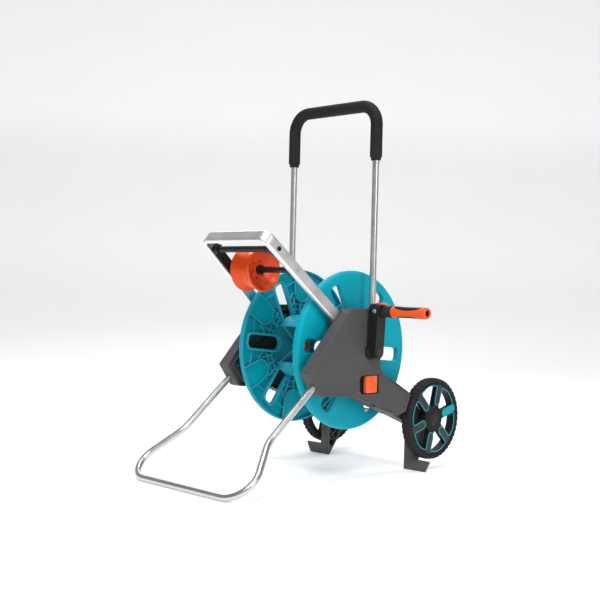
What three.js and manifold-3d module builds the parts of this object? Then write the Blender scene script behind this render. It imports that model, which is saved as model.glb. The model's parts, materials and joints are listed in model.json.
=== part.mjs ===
// Garden hose reel cart, in millimetres.
// X runs across the cart and +X is the crank side. -Y is the front, where the stand lies. Z is up.
// The drum axis is the line y = 0, z = DRUM_HEIGHT. "Right" pieces are at +X and "left" ones mirror them.
import * as THREE from 'three';
import { mergeVertices } from 'three/addons/utils/BufferGeometryUtils.js';
import Module from 'manifold-3d';

const wasm = await Module();
wasm.setup();

// ---- Driving dimensions ----
const GAP = 0.3; // between solids that touch on the real cart
const RUN = 0.35; // radial gap round a turning shaft

const DRUM_HEIGHT = 298;
const DRUM_TURN = THREE.MathUtils.degToRad(-5.5);
const FLANGE_RADIUS = 190;
const FLANGE_FACE = 101;
const FLANGE_WALL = 4.5;
const FLANGE_RIM_DEPTH = 16;
const FLANGE_RIM_WALL = 4;
const SLOT_COUNT = 6;
const SLOT_WIDTH = 32;
const SLOT_INNER = 62;
const SLOT_OUTER = 166;
const SLOT_CORNER = 11;
const CORE_RADIUS = 78;
const CORE_WALL = 4;
const WINDOW_HALF_ANGLE = THREE.MathUtils.degToRad(35);
const SHAFT_RADIUS = 12;
const SHAFT_END_RADIUS = 8;
const SHAFT_INNER = 78; // x of the shaft stub's inner end
const BOSS_RADIUS = 20;
const BOSS_LENGTH = 14;
const WEB_INSET = 12; // from the core's end to the middle of its webs

const FRAME_INNER = 124; // x of the side housing's inner edge
const COVER_FACE = 154; // x of the flat upper part of its outer face
const COVER_WALL = 3;
const FRAME_PLATE = 3;
const RIB_HEIGHT = 6.5;
// The outer face flares in two slopes. Each starts at a distance from the drum axis, measured along y and z,
// and the first is shallow enough for the crank to swing past.
const FLARES = [
  { y: 0.7, z: -0.714, start: 8, slope: 0.06 },
  { y: 0.88, z: -0.474, start: 122, slope: 0.3 },
];
const LEG_FLOOR = 111; // z of the housing's lowest edge, over the foot

const WHEEL = { y: 213, z: 126.7, radius: 100.8, inner: 159.4, outer: 185.4 };
const TYRE_BORE = 89.8;
const RIM_FACE = 183.6;
const HUB_RADIUS = 22;
const SPOKE_COUNT = 6;
const SPOKE_WIDTH = 19;
const SPOKE_TURN = THREE.MathUtils.degToRad(75.5);
const AXLE_RADIUS = 6;

const TUBE_RADIUS = 8;
const STAND_X = 141.5;
const STAND_CORNER = { x: 220.4, y: -435, z: TUBE_RADIUS };
const STAND_ENTRY = { y: -177.5, z: 222.4 };
const STAND_BEND_Y = -314;
const STAND_INSIDE = 58; // length of tube held inside the housing

const HANDLE_X = 137;
const HANDLE_Y = 22.5;
const HANDLE_TOP = 882;
const HANDLE_BOTTOM = 186;
const HANDLE_CORNER = 47;
const GRIP_RADIUS = 14.7;
const GRIP_END = 756;

const HOOP_SLOPE = THREE.MathUtils.degToRad(40);
const HOOP_HALF_SPAN = 109;
const HOOP_SPLAY = 0.0635; // how far each arm moves outward per millimetre of its length
const HOOP_LENGTH = 338;
const HOOP_WIDTH = 30;
const HOOP_THICK = 12;
const HOOP_CORNER = 24;
const HOOP_START = { y: -300.7, z: 559.5 };
const UPPER_ROD = { at: 46.6, radius: 7.5 }; // distance along the arms from the crossbar's face
const LOWER_ROD = { at: 117, radius: 7 };

const SPOOL = { centre: -21.7, half: 31.1, radius: 51.5 };

const CRANK_INNER = 155.6;
const CRANK_FACE = 183;
const CRANK_TOP = 411;
const CRANK_HALF = 15;
const PIVOT = { x: 176.5, z: 394 };
const FORK_HALF = 6;
const GRIP_START = 219.5;
const GRIP_STOP = 321;

const LATCH = { y0: -14, y1: 24, z0: 200.5, z1: 240.8, face: 157.5 };
const WINDOW = { y0: -36, y1: 30, z0: 198.5, z1: 242.8, corner: 13 };

const SCREW_SPOTS = [[-168, 252], [-12, 370], [78, 190]];

// ---- Materials ----
const TURQUOISE = { color: 0x00a5b9, roughness: 0.4, metalness: 0 };
const ORANGE = { color: 0xf55f32, roughness: 0.45, metalness: 0 };
const SPOOL_RED = { color: 0xe13c14, roughness: 0.35, metalness: 0 };
const GREY = { color: 0x555555, roughness: 0.6, metalness: 0 };
const BLACK = { color: 0x1c1c1c, roughness: 0.55, metalness: 0 };
const RUBBER = { color: 0x222222, roughness: 0.85, metalness: 0 };
const FOAM = { color: 0x262626, roughness: 0.9, metalness: 0 };
const STEEL = { color: 0xb8b8b8, roughness: 0.25, metalness: 1 };
const ALUMINIUM = { color: 0xc6c8ca, roughness: 0.4, metalness: 1 };
const ZINC = { color: 0x8f9396, roughness: 0.4, metalness: 1 };

// ---- Solids and booleans ----
function bare(geometry) {
  const copy = geometry.clone();
  copy.deleteAttribute('normal');
  copy.deleteAttribute('uv');
  return mergeVertices(copy, 1e-4);
}

function solid(geometry) {
  const merged = bare(geometry);
  const mesh = new wasm.Mesh({
    numProp: 3,
    vertProperties: new Float32Array(merged.attributes.position.array),
    triVerts: new Uint32Array(merged.index.array),
  });
  mesh.merge();
  return new wasm.Manifold(mesh);
}

function shapeOf(manifold) {
  const mesh = manifold.getMesh();
  const geometry = new THREE.BufferGeometry();
  geometry.setAttribute('position', new THREE.BufferAttribute(new Float32Array(mesh.vertProperties), 3));
  geometry.setIndex(new THREE.BufferAttribute(new Uint32Array(mesh.triVerts), 1));
  return geometry;
}

function join(first, ...others) {
  return shapeOf(others.reduce((sum, item) => sum.add(solid(item)), solid(first)));
}

function cut(first, ...others) {
  return shapeOf(others.reduce((rest, item) => rest.subtract(solid(item)), solid(first)));
}

function common(first, second) {
  return shapeOf(solid(first).intersect(solid(second)));
}

function mirrored(geometry) {
  const copy = bare(geometry);
  copy.applyMatrix4(new THREE.Matrix4().makeScale(-1, 1, 1));
  const index = copy.index.array;
  for (let i = 0; i < index.length; i += 3) {
    const second = index[i + 1];
    index[i + 1] = index[i + 2];
    index[i + 2] = second;
  }
  return copy;
}

// ---- Simple shapes in the cart's frame ----
function box(x0, x1, y0, y1, z0, z1) {
  return new THREE.BoxGeometry(x1 - x0, y1 - y0, z1 - z0)
    .translate((x0 + x1) / 2, (y0 + y1) / 2, (z0 + z1) / 2);
}

// A flat plate: an outline in the Y-Z plane, thick from x0 to x1.
function plate(outline, x0, x1) {
  const geometry = new THREE.ExtrudeGeometry(outline, { depth: x1 - x0, bevelEnabled: false });
  const turn = new THREE.Matrix4().makeBasis(
    new THREE.Vector3(0, 1, 0), new THREE.Vector3(0, 0, 1), new THREE.Vector3(1, 0, 0));
  return geometry.applyMatrix4(turn).translate(x0, 0, 0);
}

// A turned piece about the X axis line through (y, z). The profile lists [radius, x].
function turned(profile, y, z, sides = 24) {
  const points = profile.map(([radius, x]) => new THREE.Vector2(radius, x));
  return new THREE.LatheGeometry(points, sides).rotateZ(-Math.PI / 2).translate(0, y, z);
}

function rod(radius, x0, x1, y, z, sides = 16) {
  return turned([[0, x0], [radius, x0], [radius, x1], [0, x1]], y, z, sides);
}

function ring(inner, outer, x0, x1, y, z, sides = 24) {
  return turned([[inner, x0], [outer, x0], [outer, x1], [inner, x1], [inner, x0]], y, z, sides);
}

function upright(radius, x, y, z0, z1, sides = 16) {
  return new THREE.CylinderGeometry(radius, radius, z1 - z0, sides)
    .rotateX(Math.PI / 2).translate(x, y, (z0 + z1) / 2);
}

function crosswise(radius, x, y0, y1, z, sides = 16) {
  return new THREE.CylinderGeometry(radius, radius, y1 - y0, sides).translate(x, (y0 + y1) / 2, z);
}

// ---- Tubes along rounded polylines ----
class Route extends THREE.Curve {
  constructor(points) {
    super();
    this.points = points;
  }

  getPoint(t, target = new THREE.Vector3()) {
    const place = t * (this.points.length - 1);
    const first = Math.min(Math.floor(place), this.points.length - 2);
    return target.lerpVectors(this.points[first], this.points[first + 1], place - first);
  }

  getPointAt(t, target) {
    return this.getPoint(t, target);
  }

  getTangentAt(t, target = new THREE.Vector3()) {
    const last = this.points.length - 1;
    const here = Math.round(t * last);
    const before = this.points[Math.max(here - 1, 0)];
    const at = this.points[here];
    const after = this.points[Math.min(here + 1, last)];
    const arriving = at.clone().sub(before).normalize();
    const leaving = after.clone().sub(at).normalize();
    return target.copy(arriving).add(leaving).normalize();
  }
}

// Replaces each inner corner of a polyline by an arc of the given radius.
function rounded(corners, radii, steps = 5) {
  const points = [corners[0]];
  for (let i = 1; i < corners.length - 1; i += 1) {
    const to = corners[i - 1].clone().sub(corners[i]).normalize();
    const from = corners[i + 1].clone().sub(corners[i]).normalize();
    const half = to.angleTo(from) / 2;
    const reach = radii[i - 1] / Math.tan(half);
    const centre = to.clone().add(from).normalize().multiplyScalar(radii[i - 1] / Math.sin(half)).add(corners[i]);
    const start = corners[i].clone().addScaledVector(to, reach).sub(centre);
    const stop = corners[i].clone().addScaledVector(from, reach).sub(centre);
    const sweep = start.angleTo(stop);
    for (let k = 0; k <= steps; k += 1) {
      const a = Math.sin(sweep * (1 - k / steps)) / Math.sin(sweep);
      const b = Math.sin(sweep * (k / steps)) / Math.sin(sweep);
      points.push(start.clone().multiplyScalar(a).addScaledVector(stop, b).add(centre));
    }
  }
  points.push(corners[corners.length - 1]);
  return points;
}

function circle(radius, sides) {
  const points = [];
  for (let i = 0; i < sides; i += 1) {
    const angle = (2 * Math.PI * i) / sides;
    points.push(new THREE.Vector2(radius * Math.cos(angle), radius * Math.sin(angle)));
  }
  return new THREE.Shape(points);
}

function tube(points, radius, sides = 10) {
  return new THREE.ExtrudeGeometry(circle(radius, sides), {
    steps: points.length - 1, extrudePath: new Route(points), bevelEnabled: false,
  });
}

function point(x, y, z) {
  return new THREE.Vector3(x, y, z);
}

// ---- Side housing: cover, ribbed frame and foot ----
function housingOutline() {
  const outline = new THREE.Shape();
  outline.moveTo(-203, 255);
  outline.lineTo(-96, 372);
  outline.quadraticCurveTo(-70.8, 399.5, -33, 399.5);
  outline.lineTo(31, 399.5);
  outline.quadraticCurveTo(42, 399.5, 42, 388);
  outline.lineTo(35.5, 272);
  outline.quadraticCurveTo(35, 254, 50, 244);
  outline.lineTo(121, 200.5);
  outline.lineTo(197, 146);
  outline.absarc(WHEEL.y, WHEEL.z, 24, Math.PI * 0.66, 0, true);
  outline.lineTo(237, LEG_FLOOR);
  outline.lineTo(166, LEG_FLOOR);
  outline.lineTo(20, 166);
  outline.lineTo(-50, 191.5);
  outline.lineTo(-73, 195.8);
  outline.lineTo(-155, 200.5);
  outline.lineTo(-165.6, 203.6);
  return outline.getPoints(4);
}

// The part of the outer face that flares out towards the wheel and stops short of the tyre.
function flareOutline() {
  return [
    [-203, 255], [35.2, 300], [35.5, 272], [38, 257], [50, 244], [121, 200.5], [130, 191.2],
    [110.8, 151.8], [85.6, 142], [20, 166], [-50, 191.5], [-73, 195.8], [-155, 200.5], [-165.6, 203.6],
  ].map(([y, z]) => new THREE.Vector2(y, z));
}

// The stretch of the frame that carries ribs, with plain corners.
function ribOutline() {
  return [
    [-203, 255], [-96, 372], [-60, 399.5], [42, 399.5], [35.5, 250], [121, 200.5], [190, 152], [190, 104],
    [20, 166], [-50, 191.5], [-155, 200.5],
  ].map(([y, z]) => new THREE.Vector2(y, z));
}

// Moves every edge of a closed outline inwards by the same distance.
function inset(points, distance) {
  const open = points[0].distanceTo(points[points.length - 1]) < 1e-6 ? points.slice(0, -1) : points;
  const turn = THREE.ShapeUtils.area(open) > 0 ? 1 : -1;
  return open.map((here, i) => {
    const before = open[(i + open.length - 1) % open.length];
    const after = open[(i + 1) % open.length];
    const first = here.clone().sub(before).normalize();
    const second = after.clone().sub(here).normalize();
    const normal = new THREE.Vector2(-first.y - second.y, first.x + second.x).normalize();
    const stretch = normal.dot(new THREE.Vector2(-first.y, first.x));
    return here.clone().addScaledVector(normal, (turn * distance) / stretch);
  });
}

// The x of the sloping plane that the first slopes of the flare add up to.
function flarePlane(y, z, count) {
  return FLARES.slice(0, count).reduce(
    (x, flare) => x + flare.slope * (flare.y * y + flare.z * (z - DRUM_HEIGHT) - flare.start), COVER_FACE);
}

function coverFace(y, z) {
  return Math.max(COVER_FACE, flarePlane(y, z, 1), flarePlane(y, z, 2));
}

// Everything on the drum's side of one sloping plane, moved inwards by a drop.
function underFlare(count, drop) {
  const far = 500;
  const geometry = box(-far, far, -far, far, -far, far);
  const position = geometry.attributes.position;
  for (let i = 0; i < position.count; i += 1) {
    if (position.getX(i) > 0) {
      position.setX(i, flarePlane(position.getY(i), position.getZ(i), count) - drop);
    }
  }
  return geometry;
}

function envelope(distance, drop, x0) {
  const body = plate(new THREE.Shape(inset(housingOutline(), distance)), x0, COVER_FACE - drop);
  const flare = plate(new THREE.Shape(inset(flareOutline(), distance)), x0, 200);
  const slopes = [1, 2].map((count) => common(flare, underFlare(count, drop)));
  return join(body, ...slopes);
}

function latchWindow() {
  const { y0, y1, z0, z1, corner } = WINDOW;
  const outline = new THREE.Shape();
  outline.moveTo(y1, z0);
  outline.lineTo(y1, z1);
  outline.lineTo(y0 + corner, z1);
  outline.absarc(y0 + corner, z1 - corner, corner, Math.PI / 2, Math.PI, false);
  outline.absarc(y0 + corner, z0 + corner, corner, Math.PI, Math.PI * 1.5, false);
  return plate(outline, 145, 200);
}

function sideCover() {
  const posts = SCREW_SPOTS.map(([y, z]) => rod(4.6, 128.3, coverFace(y, z) - 1, y, z, 8));
  const holes = SCREW_SPOTS.map(([y, z]) => rod(2.2, 120, 142, y, z, 8));
  const shell = cut(envelope(0, 0, FRAME_INNER), envelope(COVER_WALL, COVER_WALL, FRAME_INNER - 5));
  return cut(
    join(shell, ...posts),
    ...holes,
    latchWindow(),
    rod(SHAFT_RADIUS + 8.5, 140, 160, 0, DRUM_HEIGHT),
    upright(11.6, HANDLE_X, HANDLE_Y, 380, 410),
    upright(TUBE_RADIUS + 0.6, HANDLE_X, HANDLE_Y, 130, 200),
    tube(standPoints().slice(0, 3), TUBE_RADIUS + 0.7, 12),
    armSocketBox(0.4),
    rod(AXLE_RADIUS + 0.5, 140, 160, WHEEL.y, WHEEL.z),
  );
}

function sideFrame() {
  const outline = inset(housingOutline(), COVER_WALL + 0.5);
  const web = plate(new THREE.Shape(outline), FRAME_INNER + 0.8, FRAME_INNER + 0.8 + FRAME_PLATE);
  const edge = inset(ribOutline(), 11);
  const innerEdge = inset(ribOutline(), 14);
  const ribStart = FRAME_INNER + 0.8 - RIB_HEIGHT;
  const border = cut(
    plate(new THREE.Shape(edge), ribStart, FRAME_INNER + 1.8),
    plate(new THREE.Shape(innerEdge), ribStart - 5, FRAME_INNER + 5),
  );
  const ribs = [
    [-190, 250, 30, 385], [-60, 385, 25, 185], [-150, 295, -30, 190], [-70, 205, 26, 300], [20, 250, 110, 150],
  ].map(([y0, z0, y1, z1]) => bar(y0, z0, y1, z1, 3, ribStart, FRAME_INNER + 1.8));
  const clip = plate(new THREE.Shape(edge), 100, 140);
  const trimmed = ribs.map((rib) => common(rib, clip));
  const bearing = rod(21, 117, FRAME_INNER + 3.8, 0, DRUM_HEIGHT);
  const socket = armSocketBox(0);
  return cut(
    join(web, border, ...trimmed, bearing, socket),
    rod(16.3, 100, 140, 0, DRUM_HEIGHT),
    hoopArmClearance(),
    upright(TUBE_RADIUS + 0.6, HANDLE_X, HANDLE_Y, 130, 410),
    upright(11.6, HANDLE_X, HANDLE_Y, 384, 410),
    tube(standPoints().slice(0, 3), TUBE_RADIUS + 0.7, 12),
    rod(AXLE_RADIUS + 0.4, 100, 140, WHEEL.y, WHEEL.z),
    ...SCREW_SPOTS.map(([y, z]) => rod(2.2, 100, 142, y, z, 8)),
    ...SCREW_SPOTS.map(([y, z]) => rod(4.7, 100, FRAME_INNER + 0.8, y, z, 10)),
  );
}

// A straight bar in the Y-Z plane between two points, thick from x0 to x1.
function bar(y0, z0, y1, z1, width, x0, x1) {
  const length = Math.hypot(y1 - y0, z1 - z0);
  return new THREE.BoxGeometry(x1 - x0, length, width)
    .rotateX(Math.atan2(z1 - z0, y1 - y0))
    .translate((x0 + x1) / 2, (y0 + y1) / 2, (z0 + z1) / 2);
}

function foot() {
  const front = 166;
  const top = LEG_FLOOR - GAP;
  const back = [[173, 0], [181, 11], [200, 36], [221, 66], [232, 94], [237, top]];
  const side = [[front, 0], ...back, [front, top]].map(([y, z]) => new THREE.Vector2(y, z));
  const inner = 129.3;
  const outer = 156;
  const block = plate(new THREE.Shape(side), inner, outer);
  const cavity = [[171.5, 24], [185, 24], [195.5, 38.5], [216, 69], [226.5, 95], [230.5, 105.5], [171.5, 105.5]]
    .map(([y, z]) => new THREE.Vector2(y, z));
  const hollow = plate(new THREE.Shape(cavity), inner - 1, outer - 4);
  const struts = [[168, 40, 200, 40], [168, 76, 222, 76], [168, 40, 220, 78], [168, 76, 196, 38], [168, 108, 224, 76]]
    .map(([y0, z0, y1, z1]) => bar(y0, z0, y1, z1, 3, inner + 2, outer - 2));
  const toe = new THREE.Shape([[inner, 0], [194, 0], [206.5, 24], [206.5, 27], [inner, 27]]
    .map(([x, z]) => new THREE.Vector2(x, z)));
  const toePlate = new THREE.ExtrudeGeometry(toe, { depth: 6, bevelEnabled: false })
    .rotateX(Math.PI / 2).translate(0, front + 6, 0);
  return join(cut(block, hollow), ...struts.map((strut) => common(strut, block)), toePlate);
}

function coverScrew([y, z]) {
  return turned([[0, 122.4], [3.6, 122.4], [4.2, 124.5], [1.75, 124.5], [1.75, 140], [0, 141]], y, z, 8);
}

// ---- Front hoop, rods and hose guide ----
// Places X-across, Y-down-the-arm, Z-across-the-bar coordinates on the hoop's sloping plane.
function hoopFrame() {
  const across = new THREE.Vector3(1, 0, 0);
  const along = new THREE.Vector3(0, Math.cos(HOOP_SLOPE), -Math.sin(HOOP_SLOPE));
  const over = new THREE.Vector3().crossVectors(across, along);
  return new THREE.Matrix4().makeBasis(across, along, over)
    .setPosition(0, HOOP_START.y, HOOP_START.z);
}

function rodCentre(at) {
  return point(0, at, 0).applyMatrix4(hoopFrame());
}

// The bar's edge at a distance in from its outer face: across the top and down both arms.
function hoopEdge(depth) {
  const armEnd = HOOP_HALF_SPAN + HOOP_SPLAY * HOOP_LENGTH - depth;
  const shoulder = HOOP_HALF_SPAN + HOOP_SPLAY * depth - depth;
  const corners = [
    point(-armEnd, HOOP_LENGTH, 0), point(-shoulder, depth, 0), point(shoulder, depth, 0),
    point(armEnd, HOOP_LENGTH, 0),
  ];
  const radius = HOOP_CORNER - depth * 0.9;
  return rounded(corners, [radius, radius]).map((item) => new THREE.Vector2(item.x, item.y));
}

function hoop() {
  const outline = new THREE.Shape([...hoopEdge(0), ...hoopEdge(HOOP_THICK).reverse()]);
  const bent = new THREE.ExtrudeGeometry(outline, { depth: HOOP_WIDTH, bevelEnabled: false })
    .translate(0, 0, -HOOP_WIDTH / 2).applyMatrix4(hoopFrame());
  const holes = [UPPER_ROD, LOWER_ROD].map(({ at }) => {
    const centre = rodCentre(at);
    return rod(3.5, -150, 150, centre.y, centre.z, 12);
  });
  return cut(bent, ...holes);
}

// A block round the right arm in the arm's own splayed direction.
function armBlock(from, to, side, halfWidth) {
  const points = [
    [HOOP_HALF_SPAN + HOOP_SPLAY * from + side.in, from], [HOOP_HALF_SPAN + HOOP_SPLAY * from + side.out, from],
    [HOOP_HALF_SPAN + HOOP_SPLAY * to + side.out, to], [HOOP_HALF_SPAN + HOOP_SPLAY * to + side.in, to],
  ].map(([x, y]) => new THREE.Vector2(x, y));
  return new THREE.ExtrudeGeometry(new THREE.Shape(points), { depth: 2 * halfWidth, bevelEnabled: false })
    .translate(0, 0, -halfWidth).applyMatrix4(hoopFrame());
}

function armSocketBox(grow) {
  const side = { in: -HOOP_THICK - 3.4 - grow, out: 3.4 + grow };
  return armBlock(276 - grow, 346 + grow, side, HOOP_WIDTH / 2 + 3.4 + grow);
}

function hoopArmClearance() {
  const side = { in: -HOOP_THICK - 0.35, out: 0.35 };
  return armBlock(250, HOOP_LENGTH + 0.5, side, HOOP_WIDTH / 2 + 0.35);
}

function rodEnd(at) {
  return HOOP_HALF_SPAN + HOOP_SPLAY * at - HOOP_THICK - 0.8;
}

function guideRod({ at, radius }) {
  const centre = rodCentre(at);
  const end = rodEnd(at);
  const bores = [-1, 1].map((side) => rod(3.5, side > 0 ? end - 14 : -end - 1, side > 0 ? end + 1 : -end + 14,
    centre.y, centre.z, 12));
  return cut(rod(radius, -end, end, centre.y, centre.z, 20), ...bores);
}

function guideBracket() {
  const strip = armBlock(33, 131, { in: -HOOP_THICK - 4.4, out: -HOOP_THICK - 0.4 }, 12.5);
  const collars = [UPPER_ROD, LOWER_ROD].map(({ at }) => {
    const centre = rodCentre(at);
    const end = rodEnd(at) - 1.2;
    return rod(12, end - 11, end, centre.y, centre.z, 20);
  });
  const bores = [UPPER_ROD, LOWER_ROD].map(({ at, radius }) => {
    const centre = rodCentre(at);
    return rod(radius + 0.3, 60, 120, centre.y, centre.z, 20);
  });
  return cut(join(strip, ...collars), ...bores);
}

function rodFastener({ at }, head) {
  const centre = rodCentre(at);
  const face = HOOP_HALF_SPAN + HOOP_SPLAY * at + 0.5;
  const profile = [[0, face - HOOP_THICK - 12], [3.1, face - HOOP_THICK - 12], [3.1, face], [head, face],
    [head - 1.2, face + 1.8], [0, face + 1.8]];
  return turned(profile, centre.y, centre.z, 12);
}

function guideSleeve() {
  const centre = rodCentre(LOWER_ROD.at);
  const x0 = SPOOL.centre - 17;
  const x1 = SPOOL.centre + 20;
  const bore = LOWER_ROD.radius + RUN;
  return turned([[bore, x0], [11.6, x0], [11.6, x0 + 2.5], [9.6, x0 + 2.5], [9.6, x1 - 2.5], [11.6, x1 - 2.5],
    [11.6, x1], [bore, x1], [bore, x0]], centre.y, centre.z, 20);
}

function guideSpool() {
  const centre = rodCentre(LOWER_ROD.at);
  const { centre: c, half: h, radius: r } = SPOOL;
  return turned([
    [10, c - 14], [16, c - 14], [40, c - h + 9], [r - 4, c - h], [r, c - h + 3], [r - 8, c - 6], [r - 8, c + 6],
    [r, c + h - 3], [r - 4, c + h], [40, c + h - 9], [16, c + 17], [10, c + 17], [10, c - 14],
  ], centre.y, centre.z, 26);
}

// ---- Stand ----
function standPoints() {
  const slope = Math.atan2(STAND_ENTRY.z - STAND_CORNER.z, STAND_ENTRY.y - STAND_CORNER.y);
  const rise = Math.tan(slope);
  const insideY = STAND_ENTRY.y + STAND_INSIDE * Math.cos(slope);
  const zAt = (y) => STAND_CORNER.z + (y - STAND_CORNER.y) * rise;
  const corners = [
    point(STAND_X, insideY, zAt(insideY)), point(STAND_X, STAND_BEND_Y, zAt(STAND_BEND_Y)),
    point(STAND_CORNER.x, STAND_CORNER.y, STAND_CORNER.z), point(-STAND_CORNER.x, STAND_CORNER.y, STAND_CORNER.z),
    point(-STAND_X, STAND_BEND_Y, zAt(STAND_BEND_Y)), point(-STAND_X, insideY, zAt(insideY)),
  ];
  return rounded(corners, [70, 62, 62, 70]);
}

// ---- Drum ----
function slotOutline(angle) {
  const half = SLOT_WIDTH / 2;
  const start = SLOT_INNER + SLOT_WIDTH / 2;
  const outline = new THREE.Shape();
  outline.moveTo(start, -half);
  outline.lineTo(SLOT_OUTER - SLOT_CORNER, -half);
  outline.absarc(SLOT_OUTER - SLOT_CORNER, -half + SLOT_CORNER, SLOT_CORNER, -Math.PI / 2, 0, false);
  outline.absarc(SLOT_OUTER - SLOT_CORNER, half - SLOT_CORNER, SLOT_CORNER, 0, Math.PI / 2, false);
  outline.absarc(start, 0, half, Math.PI / 2, Math.PI * 1.5, false);
  const turn = new THREE.Vector2();
  return outline.getPoints(3).map((item) => item.clone().rotateAround(turn, angle).add(
    new THREE.Vector2(0, DRUM_HEIGHT)));
}

function flange() {
  const inside = FLANGE_FACE - FLANGE_WALL;
  const lip = FLANGE_FACE - FLANGE_RIM_DEPTH;
  const disc = turned([
    [SHAFT_RADIUS + GAP, inside], [CORE_RADIUS - 8, inside], [CORE_RADIUS - 8, inside - 6],
    [CORE_RADIUS - CORE_WALL - 1.2, inside - 6], [CORE_RADIUS - CORE_WALL - 1.2, inside],
    [FLANGE_RADIUS - FLANGE_RIM_WALL, inside], [FLANGE_RADIUS - FLANGE_RIM_WALL, lip], [FLANGE_RADIUS, lip],
    [FLANGE_RADIUS, FLANGE_FACE - 4], [FLANGE_RADIUS - 6, FLANGE_FACE], [SHAFT_RADIUS + GAP, FLANGE_FACE],
    [SHAFT_RADIUS + GAP, inside],
  ], 0, DRUM_HEIGHT, 40);
  const angles = Array.from({ length: SLOT_COUNT }, (_, i) => DRUM_TURN + (2 * Math.PI * i) / SLOT_COUNT);
  const slots = angles.map((angle) => plate(new THREE.Shape(slotOutline(angle)), inside - 20, FLANGE_FACE + 5));
  return cut(disc, ...slots);
}

function coreWall(middle) {
  const half = Math.PI / 2 - WINDOW_HALF_ANGLE;
  const outline = new THREE.Shape();
  outline.absarc(0, DRUM_HEIGHT, CORE_RADIUS, middle - half, middle + half, false);
  outline.absarc(0, DRUM_HEIGHT, CORE_RADIUS - CORE_WALL, middle + half, middle - half, true);
  const end = FLANGE_FACE - FLANGE_WALL - GAP;
  const points = outline.getPoints(9);
  return plate(new THREE.Shape(points), -end, end);
}

// The drum's core is open in the middle. At each end four webs carry a boss on the shaft.
function drumCore() {
  const end = FLANGE_FACE - FLANGE_WALL - GAP;
  const webs = [-1, 1].flatMap((side) => [-1, 1].map((tilt) => {
    const angle = DRUM_TURN + tilt * (WINDOW_HALF_ANGLE + 0.06);
    const reach = CORE_RADIUS - 2;
    const [dy, dz] = [Math.cos(angle) * reach, Math.sin(angle) * reach];
    const middle = side * (end - WEB_INSET);
    return bar(-dy, DRUM_HEIGHT - dz, dy, DRUM_HEIGHT + dz, 5, middle - 4, middle + 4);
  }));
  const bosses = [rod(BOSS_RADIUS, end - BOSS_LENGTH, end, 0, DRUM_HEIGHT),
    rod(BOSS_RADIUS, -end, BOSS_LENGTH - end, 0, DRUM_HEIGHT)];
  const bore = rod(SHAFT_RADIUS + GAP, -end - 1, end + 1, 0, DRUM_HEIGHT);
  const [top, bottom] = [DRUM_TURN + Math.PI / 2, DRUM_TURN - Math.PI / 2].map(coreWall);
  return cut(join(top, bottom, ...webs, ...bosses), bore);
}

// The stub of shaft on the right side. The left one mirrors it.
function drumShaft() {
  const neck = CRANK_INNER - 4;
  return turned([
    [0, SHAFT_INNER], [SHAFT_RADIUS, SHAFT_INNER], [SHAFT_RADIUS, neck], [SHAFT_END_RADIUS, neck],
    [SHAFT_END_RADIUS, CRANK_INNER + 12], [0, CRANK_INNER + 12],
  ], 0, DRUM_HEIGHT);
}

// The spigot inside the drum, on the inlet's shaft, that the wound hose's inner end pushes on to.
function hoseConnector() {
  const start = GAP - SHAFT_INNER;
  return turned([
    [0, start], [9, start], [9, start + 8], [7, start + 9], [8.6, start + 16], [7, start + 17],
    [8.6, start + 22], [7, start + 27], [4.4, start + 27], [4.4, start + 10], [0, start + 10],
  ], 0, DRUM_HEIGHT, 20);
}

// ---- Crank ----
function crankArm() {
  const side = new THREE.Shape();
  side.moveTo(CRANK_INNER, DRUM_HEIGHT);
  side.lineTo(182, DRUM_HEIGHT);
  side.lineTo(187.5, CRANK_TOP - 14);
  side.quadraticCurveTo(188, CRANK_TOP, 178, CRANK_TOP);
  side.lineTo(170, CRANK_TOP);
  side.quadraticCurveTo(160.5, CRANK_TOP, 160.5, CRANK_TOP - 12);
  const arm = new THREE.ExtrudeGeometry(side, { depth: 2 * CRANK_HALF, bevelEnabled: false, curveSegments: 5 })
    .rotateX(Math.PI / 2).translate(0, CRANK_HALF, 0);
  const hub = turned([[0, CRANK_INNER], [17.5, CRANK_INNER], [17.5, CRANK_INNER + 8], [CRANK_HALF, CRANK_INNER + 8],
    [CRANK_HALF, CRANK_FACE - 1], [CRANK_HALF - 1, CRANK_FACE], [0, CRANK_FACE]], 0, DRUM_HEIGHT, 28);
  return cut(
    join(arm, hub),
    box(150, 200, -FORK_HALF, FORK_HALF, PIVOT.z - 13.5, 430),
    crosswise(3.3, PIVOT.x, -20, 20, PIVOT.z, 16),
    rod(SHAFT_END_RADIUS + GAP, 150, CRANK_INNER + 13, 0, DRUM_HEIGHT),
    rod(11.8, CRANK_FACE - 2.5, CRANK_FACE + 5, 0, DRUM_HEIGHT),
  );
}

function crankCap() {
  return turned([[0, CRANK_FACE - 2.2], [11.4, CRANK_FACE - 2.2], [11.4, CRANK_FACE + 1.2], [9.8, CRANK_FACE + 2.4],
    [0, CRANK_FACE + 2.8]], 0, DRUM_HEIGHT, 24);
}

function pivotScrew() {
  const half = CRANK_HALF + GAP;
  return new THREE.LatheGeometry([
    [0, -half - 1.8], [4.6, -half - 1.8], [5.2, -half - 1], [5.2, -half], [3, -half], [3, half], [5.2, half],
    [5.2, half + 1.2], [0, half + 1.6],
  ].map(([radius, y]) => new THREE.Vector2(radius, y)), 12).translate(PIVOT.x, 0, PIVOT.z);
}

function knuckle() {
  const tongue = join(
    crosswise(11, PIVOT.x, -5.6, 5.6, PIVOT.z, 22),
    box(PIVOT.x, 201, -5.6, 5.6, PIVOT.z - 11, PIVOT.z + 11),
  );
  const collar = turned([[0, 196], [11, 196], [14, 199], [14, GRIP_START - 1.4], [7.6, GRIP_START - 1.4],
    [7.6, GRIP_START + 86], [0, GRIP_START + 86]], 0, PIVOT.z, 22);
  const seat = box(191, 206.5, -5.5, 5.5, PIVOT.z + 11, PIVOT.z + 30);
  return cut(join(tongue, collar), crosswise(3.3, PIVOT.x, -20, 20, PIVOT.z, 16), seat);
}

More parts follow.
